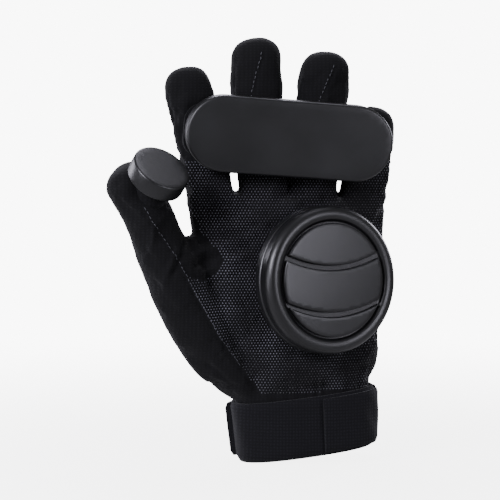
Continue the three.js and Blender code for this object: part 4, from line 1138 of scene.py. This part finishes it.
addHookPad("palmHookPad", palmPuckSpot, circle(hookPad["palmRadius"], 72), "palm_hook_pad")
addHookPad("thumbHookPad", thumbPuckSpot, circle(hookPad["thumbRadius"], 40), "thumb_hook_pad")
for digit in digits:
    spotX = 0
    for along in np.arange(0, digit["shaft"], 0.5):
        if digit["centre"](along)[2] >= fingerPuckSpot[1][2]:
            spotX = ((digit["centre"](along) - fingerPuckSpot[1]) @ fingerPuckSpot[0])[0]
            break
    shape = stadium(hookPad["long"], hookPad["wide"], 16)[::-1, ::-1] + (spotX, 0)
    addHookPad("fingerHookPad" + digit["name"].capitalize(), fingerPuckSpot, shape,
               "finger_hook_pad_" + digit["name"])
print("hook pads made")


# Wrist closure

def wrapMesh(low, high, start, end, grow, thick, columns, rows, relief=lambda a, v: 0):
    # an even wrap round the wrist; angles in degrees from the little finger's edge by the back
    whole = end - start >= 360
    levels = np.linspace(low, high, rows)
    rings = []
    for k in range(columns + (0 if whole else 1)):
        angle = math.radians(start + (end - start) * k / columns)
        inner = np.concatenate([handRing(z / hand["palmLength"], grow, np.array([angle])) for z in levels])
        outer = []
        for v, z in enumerate(levels):
            edge = min(v, rows - 1 - v) / 2
            soft = 0.55 + 0.45 * min(edge, 1)
            rise = (thick + relief(angle, v / (rows - 1))) * soft
            outer.append(handRing(z / hand["palmLength"], grow + rise, np.array([angle]))[0])
        rings.append(np.concatenate([inner, np.array(outer)[::-1]]))
    points = np.concatenate(rings)
    sides, faces = 2 * rows, []
    for r in range(columns):
        faces += bandFaces(r * sides, (r + 1) % len(rings) * sides, sides)
    if not whole:
        for first, flip in ((0, False), (columns * sides, True)):
            for k in range(rows - 1):
                face = (first + k, first + sides - 1 - k, first + sides - 2 - k, first + k + 1)
                faces.append(face[::-1] if flip else face)
    return points, faces


wrist = {"low": -1.36, "bandWidth": 34, "strapWidth": 31, "bandThick": 2.6, "strapThick": 2.2,
         "hemThick": 3.2, "gap": 0.3, "ribPitch": 1.6, "ribDepth": 0.28, "radius": 38}
perSide = 360 / 26  # degrees of one of the solids' sides


def addWristClosure():
    low, overBand = wrist["low"], 2 * wrist["gap"] + wrist["bandThick"]
    strapLow = low + (wrist["bandWidth"] - wrist["strapWidth"]) / 2
    strapHigh = strapLow + wrist["strapWidth"]
    band = wrapMesh(low, low + wrist["bandWidth"], 0, 360, wrist["gap"], wrist["bandThick"], 160, 24,
                    lambda a, v: 0.25 * math.sin(7 * a + 3 * v) * math.sin(3.1 * v))
    finished(addMesh("wristBand", *band, bandKnit, 50), "strap", "wrist_band")
    ribs = 2 * math.pi * wrist["radius"] / wrist["ribPitch"]
    strap = wrapMesh(strapLow, strapHigh, 0, 10 * perSide, overBand,
                     wrist["strapThick"] - wrist["ribDepth"], 620, 20,
                     lambda a, v: wrist["ribDepth"] * math.sin(ribs * a))
    finished(addMesh("elasticStrap", *strap, bandKnit, 60), "strap", "elastic_strap")
    hem = wrapMesh(strapLow, strapHigh, 11 * perSide, 12 * perSide, overBand, wrist["hemThick"], 14, 24)
    finished(addMesh("strapHem", *hem, bandKnit, 50), "strap", "strap_hem")
    tab = wrapMesh(strapLow, strapHigh, 20 * perSide, 25 * perSide, overBand, wrist["strapThick"], 90, 24,
                   lambda a, v: 0.35 * math.sin(11 * a + 3 * v) * math.sin(2 + 5 * v))
    finished(addMesh("hookTab", *tab, bandKnit, 50), "strap", "hook_tab")


addWristClosure()
print("wrist closure made")


# Back of the hand: panel, guard and flat trim

guard = {"long": 93, "wide": 38, "high": 12.5, "lip": 3, "tilt": 3, "across": -0.062, "up": 0.780,
         "grooves": (-0.25, 0.047, 0.288), "lipWide": 2.4, "lipHigh": 1.5, "bead": 0.45, "round": 2.5,
         "grooveWide": 2.3, "valleyWide": 7.0, "shallow": 0.5, "deeper": 2.6, "deepFrom": 14,
         "deepOver": 24}
panelOutline = [  # shares of the guard's length and width
    (-0.56, -0.25), (-0.51, -0.67), (-0.38, -0.98), (-0.25, -1.03), (-0.12, -0.98), (0.05, -0.87),
    (0.17, -0.93), (0.28, -1.00), (0.38, -0.95), (0.47, -0.78), (0.53, -0.40), (0.545, 0.06),
    (0.525, 0.34), (0.475, 0.64), (0.42, 0.745), (0.37, 0.735), (0.32, 0.67), (0.28, 0.645),
    (0.24, 0.69), (0.20, 0.80), (0.155, 0.885), (0.10, 0.895), (0.05, 0.82), (0.00, 0.72),
    (-0.046, 0.69), (-0.095, 0.745), (-0.145, 0.85), (-0.20, 0.89), (-0.255, 0.83), (-0.30, 0.71),
    (-0.36, 0.63), (-0.45, 0.65), (-0.53, 0.60), (-0.565, 0.28),
]
accentBars = [
    (-0.37, -0.71, whitePvc), (-0.24, -0.76, redPvc), (-0.11, -0.74, whitePvc), (0.16, -0.71, redPvc),
    (0.29, -0.73, whitePvc),
]
knuckleArcs = [("index", -0.485, 0.42, 37), ("middle", -0.20, 0.64, 5), ("ring", 0.12, 0.63, -2),
               ("little", 0.405, 0.525, -24)]
guardSpot = placeFrame((guard["across"] * knuckleWidth, 0, guard["up"] * hand["palmLength"]), (0, 1, 0),
                       guard["tilt"])
guardBase = onSkin(guardSpot)
levels = {"panel": 1.7, "overPanel": 2.0}


def onGuard(along, up):
    return np.array([-along * guard["long"], up * guard["wide"]])


panelRolls = {"from": 1.6, "span": 5.4, "pitch": 2.7, "deep": 0.3, "stitched": (1.6, 4.3), "sunk": 0.42}
panelEdge = [(0, 0), (0, 0.7), (0.2, 0.93), (0.6, 1), (1.1, 1)]
panelStitch = {"pitch": 2.0, "long": 1.6, "thick": 0.17, "aside": 0, "lift": 0.08}


def addGuardPanel():
    outline = eased([onGuard(*p) for p in panelOutline][::-1], 1.0)

    def height(x, y, d):  # a turned edge, then low rolls between the stitch lines
        past = min(max(d - panelRolls["from"], 0), panelRolls["span"])
        rolls = 0.5 - 0.5 * math.cos(past / panelRolls["pitch"] * 2 * math.pi)
        return levels["panel"] - panelRolls["deep"] * (1 - rolls) - 0.1

    points, faces = layOn(guardSpot, outline, panelEdge, height, guardBase, 0.9)
    panel = finished(addMesh("guardPanel", points, faces, calenderedPu, 45), "leather", "guard_panel")
    lines = []
    for distance in panelRolls["stitched"]:
        line = []
        for x, y in [*inset(outline, distance), inset(outline, distance)[0]]:
            level = guardBase(x, y) + levels["panel"] - panelRolls["sunk"]
            at = np.array(toWorld(guardSpot, (x, y, level)))
            line.append((at, np.array(skinBvh.find_nearest(Vector(at))[1])))
        lines.append(line)
    addStitches("panelStitches", lines, panelStitch, paleThread)


def addGuard():
    outline = stadium(guard["long"] + 2 * guard["lip"], guard["wide"] + 1.4 * guard["lip"], 48)
    lipWide, lipTop = guard["lipWide"], levels["overPanel"] + guard["lipHigh"]

    def dip(share, wide):  # 1 in a groove, falling to 0 beside it
        return sum(math.exp(-(((share - place) * guard["long"] / wide) ** 2)) for place in guard["grooves"])

    def height(x, y, d):  # a beaded lip, then a bowl with four bulges parted toward the fingers
        if d <= lipWide:
            return lipTop - guard["bead"] * math.cos(d / lipWide * 2 * math.pi)
        rise = min((d - lipWide) / (guard["wide"] / 2), 1)
        dome = (1 - (1 - rise) ** guard["round"]) ** (1 / guard["round"])
        toFingers = min(max((y + guard["deepFrom"]) / guard["deepOver"], 0), 1)
        deep = guard["shallow"] + guard["deeper"] * toFingers
        share = -x / guard["long"]
        sunk = 0.55 * dip(share, guard["grooveWide"]) + 0.45 * dip(share, guard["valleyWide"])
        ends = 0.84 + 0.16 * math.sqrt(max(1 - abs(2 * share) ** 3, 0))
        return lipTop - guard["bead"] + (guard["high"] - 1.2) * ends * dome - sunk * deep * dome

    steps = [0, 0, 0.2, 0.5, 0.9, 1.2, 1.5, 1.9, 2.2, 2.4, 2.42, 2.5, 2.65, 2.9, 3.3, 3.8, 4.5, 5.4, 6.4, 7.5]
    rim = [(d, 0 if k == 0 else 1) for k, d in enumerate(steps)]
    points, faces = layOn(guardSpot, outline, rim, height, easedLevel(guardBase, 58, 30, 2.0), 0.8, 0.6)
    finished(addMesh("knuckleGuard", points, faces, polishedAbs, 70), "guard", "knuckle_guard")


def easedLevel(base, wide, tall, step):  # a level eased on a grid that reaches wide and tall each way
    xs, ys = np.arange(-wide, wide + step, step), np.arange(-tall, tall + step, step)
    grid = np.array([[base(x, y) for y in ys] for x in xs])
    for _ in range(6):
        grid[1:-1] = (grid[:-2] + 2 * grid[1:-1] + grid[2:]) / 4
        grid[:, 1:-1] = (grid[:, :-2] + 2 * grid[:, 1:-1] + grid[:, 2:]) / 4

    def level(x, y):
        i = np.clip((x - xs[0]) / step, 0, len(xs) - 1.001)
        j = np.clip((y - ys[0]) / step, 0, len(ys) - 1.001)
        a, b, u, v = int(i), int(j), i % 1, j % 1
        low = grid[a, b] * (1 - u) + grid[a + 1, b] * u
        return low * (1 - v) + (grid[a, b + 1] * (1 - u) + grid[a + 1, b + 1] * u) * v

    return level


trim = {"barWide": 0.105, "barHigh": 0.17, "barSlant": 0.06, "arcLong": 0.16, "arcHigh": 0.13,
        "arcHollow": 0.25, "lift": 0.4}


def addTrim():
    wide, high = guard["long"] * trim["barWide"], guard["wide"] * trim["barHigh"]
    slant = guard["wide"] * trim["barSlant"]
    bar = [(-wide / 2 - slant, -high / 2), (wide / 2 - slant, -high / 2), (wide / 2 + slant, high / 2),
           (-wide / 2 + slant, high / 2)]

    def height(x, y, d):
        return levels["overPanel"] + trim["lift"]

    for i, (along, up, material) in enumerate(accentBars):
        shape = []
        for (x0, y0), (x1, y1) in zip(bar, bar[1:] + bar[:1]):
            shape += [(x0 + (x1 - x0) * k / 8, y0 + (y1 - y0) * k / 8) for k in range(8)]
        shape = np.array(shape) + onGuard(along, up)
        points, faces = layOn(guardSpot, shape, [(0, 0), (0, 0.8), (0.2, 1)], height, guardBase, 1.2, 1.0)
        slotName = "red" if material is redPvc else "white"
        finished(addMesh(f"accentBar{i + 1}", points, faces, material, 40), slotName, f"accent_bar_{i + 1}")
    for name, along, up, turn in knuckleArcs:
        length, width = guard["long"] * trim["arcLong"], guard["wide"] * trim["arcHigh"]
        s = np.linspace(-1, 1, 25)
        outer = np.stack([length / 2 * s, width * (1 - s * s)], 1)
        inner = np.stack([length / 2 * s, width * trim["arcHollow"] * (1 - s * s)], 1)[::-1][1:-1]
        c, k = math.cos(math.radians(-turn)), math.sin(math.radians(-turn))
        shape = np.concatenate([outer, inner]) @ np.array([[c, k], [-k, c]]) + onGuard(along, up)
        points, faces = layOn(guardSpot, shape, [(0, 0), (0, 0.8), (0.12, 1)], height, guardBase, 1.0, 1.0)
        finished(addMesh("knuckleArc" + name.capitalize(), points, faces, whitePvc, 40), "white",
                 "knuckle_arc_" + name)


addGuardPanel()
addGuard()
addTrim()
print("back of the hand made")


# Finger backs: armour plates, fingertip plates and their dots

armor = {"long": 25, "wide": 18, "high": 5.5, "along": 0.17, "foot": 0.8, "bead": 1.4, "beadAt": 1.0,
         "beadWide": 0.6, "domeFrom": 1.9, "domeWide": 2.2, "domeShare": 0.88}
facet = {"from": 1.5, "slope": 0.8, "soft": 0.7, "deep": 1.5, "over": 1.8}
plate = {"long": 22, "wide": 17, "thick": 1.2, "along": 0.66, "face": 0.25, "bead": 0.35, "beadAt": 0.9,
         "beadWide": 0.5, "dotHigh": 1.35, "dotCrown": 0.15, "dotDiameter": 5.1}
plateDots = [(-0.20, 1.00), (0.07, 0.84), (0.29, 0.68)]  # place up the plate, and size


def backSpot(digit, share):
    centre, tangent, across, back = digitFrame(digit, share * (digit["shaft"] + digit["tip"]))
    return np.column_stack([-across, tangent, back]), centre


def addArmor(digit):
    spot = backSpot(digit, armor["along"])
    outline = stadium(armor["long"], armor["wide"], 26)[:, ::-1]

    def height(x, y, d):  # a raised rim, a groove, a dome and one sunk facet toward the fingertip
        bead = armor["bead"] * math.exp(-(((d - armor["beadAt"]) / armor["beadWide"]) ** 2))
        full = 1 - math.exp(-max(d - armor["domeFrom"], 0) / armor["domeWide"])
        dome = armor["high"] * full * armor["domeShare"]
        past = ((y - facet["from"]) - abs(x) * facet["slope"]) / facet["soft"]
        sunk = facet["soft"] * math.log1p(math.exp(min(past, 40)))
        return armor["foot"] + bead + dome - facet["deep"] * math.tanh(sunk / facet["over"])

    base = easedLevel(onSkin(spot), 11, 15, 1.0)
    steps = [0, 0, 0.3, 0.6, 0.9, 1.2, 1.5, 1.9, 2.3]
    rim = [(d, 0 if k == 0 else 1) for k, d in enumerate(steps)]
    points, faces = layOn(spot, outline, rim, height, base, 0.42)
    finished(addMesh("fingerArmor" + digit["name"].capitalize(), points, faces, polishedAbs, 45), "guard",
             "finger_armor_" + digit["name"])


def shieldOutline():
    long, wide = plate["long"], plate["wide"]

    def bend(a, b, c, count):
        t = np.linspace(0, 1, count)[:-1, None]
        a, b, c = (np.array(p) for p in (a, b, c))
        return (1 - t) ** 2 * a + 2 * t * (1 - t) * b + t * t * c

    left, right, tip = (-wide / 2, -long * 0.42), (wide / 2, -long * 0.42), (0, long * 0.55)
    return np.concatenate([bend(left, (0, -long * 0.22), right, 20),
                           bend(right, (wide * 0.56, long * 0.1), tip, 26),
                           bend(tip, (-wide * 0.56, long * 0.1), left, 26)])


def addTipPlate(digit):
    spot = backSpot(digit, plate["along"])
    base = onSkin(spot)

    def height(x, y, d):  # flat, with a low bead beside the edge
        bead = math.exp(-(((d - plate["beadAt"]) / plate["beadWide"]) ** 2))
        return plate["thick"] + plate["face"] + plate["bead"] * bead

    def dotHeight(x, y, d):
        return plate["thick"] + plate["dotHigh"] + plate["dotCrown"] * min(d, 1)

    points, faces = layOn(spot, shieldOutline(), [(0, 0), (0, 0.8), (0.3, 1)], height, base, 0.9)
    finished(addMesh("tipPlate" + digit["name"].capitalize(), points, faces, calenderedPu, 40), "leather",
             "tip_plate_" + digit["name"])
    dotEdge = [(0, 0), (0, 0.7), (0.2, 0.86), (0.5, 0.95)]
    for i, (up, size) in enumerate(plateDots):
        shape = circle(size * plate["dotDiameter"] / 2, 28) + (0, up * plate["long"])
        points, faces = layOn(spot, shape, dotEdge, dotHeight, base, 0.9, 0.8)
        name = f"tipDot{digit['name'].capitalize()}{i + 1}"
        finished(addMesh(name, points, faces, yellowPvc, 50), "yellow", f"tip_dot_{digit['name']}_{i + 1}")


def addPiping(name, loops, radius, material):  # a fine raised cord round an edge
    points, faces = [], []
    for loop in loops:
        spots = np.array(loop)
        along = np.roll(spots, -1, 0) - np.roll(spots, 1, 0)
        along /= np.linalg.norm(along, axis=1, keepdims=True)
        start = len(points)
        for spot, run in zip(spots, along):
            side = unit(np.cross(run, (0, 1, 0)))
            up = np.cross(side, run)
            for a in (k * math.pi / 3 for k in range(6)):
                points.append(spot + radius * (side * math.cos(a) + up * math.sin(a)))
        count = len(spots)
        for r in range(count):
            faces += bandFaces(start + r * 6, start + (r + 1) % count * 6, 6)
    return finished(addMesh(name, points, faces, material), "cloth")


def plateEdge(digit):
    spot = backSpot(digit, plate["along"])
    base = onSkin(spot)
    ring = inset(shieldOutline(), 0.55)
    return [toWorld(spot, (x, y, base(x, y) + plate["thick"] + 0.55)) for x, y in ring]


flexRibs = {"from": 0.385, "to": 0.515, "wide": 0.62, "pitch": 1.7, "high": 0.55, "foot": 0.25,
            "thick": 0.5}


def addFlexRibs(digit):  # a shirred strip across the middle joint
    length = digit["shaft"] + digit["tip"]
    spot = backSpot(digit, (flexRibs["from"] + flexRibs["to"]) / 2)
    tall = (flexRibs["to"] - flexRibs["from"]) * length
    wide = digit["size"](0.45 * digit["shaft"])[0] * flexRibs["wide"]
    base = onSkin(spot)
    columns, rows = 24, int(tall / flexRibs["pitch"]) * 8
    grid = []
    for j in range(rows + 1):
        for i in range(columns + 1):
            x, y = (i / columns - 0.5) * wide, (j / rows - 0.5) * tall
            edge = min(1, 5 * min(i, columns - i) / columns, 4 * min(j, rows - j) / rows + 0.2)
            wave = 0.5 + 0.5 * math.cos(2 * math.pi * (j / 8 + 0.05 * math.sin(i * 0.9 + j)))
            rise = (flexRibs["foot"] + flexRibs["high"] * wave) * edge
            grid.append((x, y, base(x, y) - flexRibs["foot"] + rise))
    n = columns + 1
    faces = [(r * n + i, r * n + i + 1, (r + 1) * n + i + 1, (r + 1) * n + i)
             for r in range(rows) for i in range(columns)]
    top = len(grid)
    grid += [(x, y, z - flexRibs["thick"]) for x, y, z in grid]
    ring = [*range(columns), *(r * n + columns for r in range(rows)),
            *(rows * n + i for i in range(columns, 0, -1)), *(r * n for r in range(rows, 0, -1))]
    faces += [tuple(i + top for i in face[::-1]) for face in faces]
    faces += [(b, a, a + top, b + top) for a, b in zip(ring, ring[1:] + ring[:1])]
    piece = addMesh("flexRibs" + digit["name"].capitalize(), toWorld(spot, np.array(grid)), faces,
                    stretchKnit, 60)
    finished(piece, "cloth")


for digit in digits:
    addArmor(digit)
    addTipPlate(digit)
    if digit["name"] != "little":
        addFlexRibs(digit)
addPiping("tipPlateEdges", [plateEdge(digit) for digit in digits], 0.3, thread)
sideStitch = {"pitch": 2.4, "long": 1.8, "thick": 0.19, "aside": 1.4, "lift": 0.06, "from": 0.05,
              "to": 0.84, "round": (24, 156)}
sideLines = [lineOnDigit(digit, degrees, sideStitch["from"], sideStitch["to"])
             for digit in digits for degrees in sideStitch["round"]]
addStitches("sideStitches", [*sideLines, lineOnHand(backSeam, 1)], sideStitch, thread)
print("finger backs made")


# Floor, light and camera

stageLook = {"seen": 9.0, "cast": 0.2, "near": 0.55, "fadeFrom": 60, "fadeTo": 700}
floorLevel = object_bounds()[0][2] / metre - 0.15
floor = addMesh("floor", [(x, y, floorLevel) for x, y in circle(6000, 64)], [tuple(range(64))])


def cameraGlow(tree):  # pale to the eye, dim as a light, so that black stays black
    ray = addNode(tree, "ShaderNodeLightPath").outputs["Is Camera Ray"]
    strength = addNode(tree, "ShaderNodeMapRange", {"Value": ray, 3: stageLook["cast"], 4: stageLook["seen"]})
    return strength.outputs[0]


floorMaterial, floorTree, floorShader, floorPlace = newMaterial("paintedFloor", {
    "colour": "#e9e9e8", "roughness": 0.8, "ior": 1.5})
mottle = addNode(floorTree, "ShaderNodeTexNoise", {"Vector": floorPlace, "Scale": 8})
floorTint = addNode(floorTree, "ShaderNodeMix", {"Factor": mottle.outputs["Fac"], 6: toLinear("#e7e7e6"),
                                                 7: toLinear("#ececeb")}, data_type="RGBA")
floorTree.links.new(floorTint.outputs[2], floorShader.inputs["Base Color"])
floorGlow = addNode(floorTree, "ShaderNodeEmission", {"Color": toLinear("#ffffff"),
                                                      "Strength": cameraGlow(floorTree)})
reach = addNode(floorTree, "ShaderNodeVectorMath", {0: floorPlace}, operation="LENGTH")
fadeFrom, fadeTo = stageLook["fadeFrom"] * metre, stageLook["fadeTo"] * metre
fade = addNode(floorTree, "ShaderNodeMapRange", {"Value": reach.outputs["Value"], 1: fadeFrom, 2: fadeTo,
                                                 3: stageLook["near"], 4: 1.0},
               interpolation_type="SMOOTHSTEP")
floorMix = addNode(floorTree, "ShaderNodeMixShader", {0: fade.outputs[0], 1: floorShader.outputs["BSDF"],
                                                      2: floorGlow.outputs[0]})
floorOut = next(node for node in floorTree.nodes if node.type == "OUTPUT_MATERIAL")
floorTree.links.new(floorMix.outputs[0], floorOut.inputs["Surface"])
floor.data.materials.append(floorMaterial)

world = bpy.data.worlds.new("paleStudio")
bpy.context.scene.world = world
world.use_nodes = True
worldTree = world.node_tree
worldTree.nodes.clear()
sky = addNode(worldTree, "ShaderNodeBackground", {"Color": toLinear("#ffffff"),
                                                  "Strength": cameraGlow(worldTree)})
addNode(worldTree, "ShaderNodeOutputWorld", {"Surface": sky.outputs[0]})

aim = np.array([-33, -10, 116])
lamps = [  # name, place from the aim in mm, size in mm, power in W
    ("keyLeft", (-700, -600, 420), 420, 13),
    ("faceSoft", (600, -760, 170), 380, 4.2),
    ("topSoft", (200, 110, 880), 420, 2),
    ("lowLeft", (-750, -250, -60), 300, 1.6),
    ("backHigh", (60, 620, 700), 380, 5.5),
    ("backLeft", (-700, 560, 200), 420, 4),
    ("backRight", (760, 560, 260), 420, 5),
]
for name, place, size, power in lamps:
    lamp = bpy.data.lights.new(name, "AREA")
    lamp.shape = "DISK"
    lamp.size = size * metre
    lamp.energy = power
    lamp.color = toLinear("#f3f1ff")[:3]
    holder = bpy.data.objects.new(name, lamp)
    bpy.context.collection.objects.link(holder)
    holder.location = Vector((aim + place) * metre)
    holder.visible_camera = False
    holder.rotation_mode = "QUATERNION"
    holder.rotation_quaternion = Vector(-np.array(place, float)).to_track_quat("-Z", "Y")

cameraLook = {"azimuth": -8, "elevation": 3, "distance": 900, "lens": 114}
camera = bpy.data.cameras.new("photoCamera")
camera.lens = cameraLook["lens"]
camera.sensor_width = 36
camera.clip_start = 0.01
camera.clip_end = 20
holder = bpy.data.objects.new("photoCamera", camera)
bpy.context.collection.objects.link(holder)
a, e = math.radians(cameraLook["azimuth"]), math.radians(cameraLook["elevation"])
away = np.array([math.sin(a) * math.cos(e), -math.cos(a) * math.cos(e), math.sin(e)])
holder.location = Vector((aim + away * cameraLook["distance"]) * metre)
holder.rotation_mode = "QUATERNION"
holder.rotation_quaternion = Vector(-away).to_track_quat("-Z", "Y")
bpy.context.scene.camera = holder
print("light and camera set")
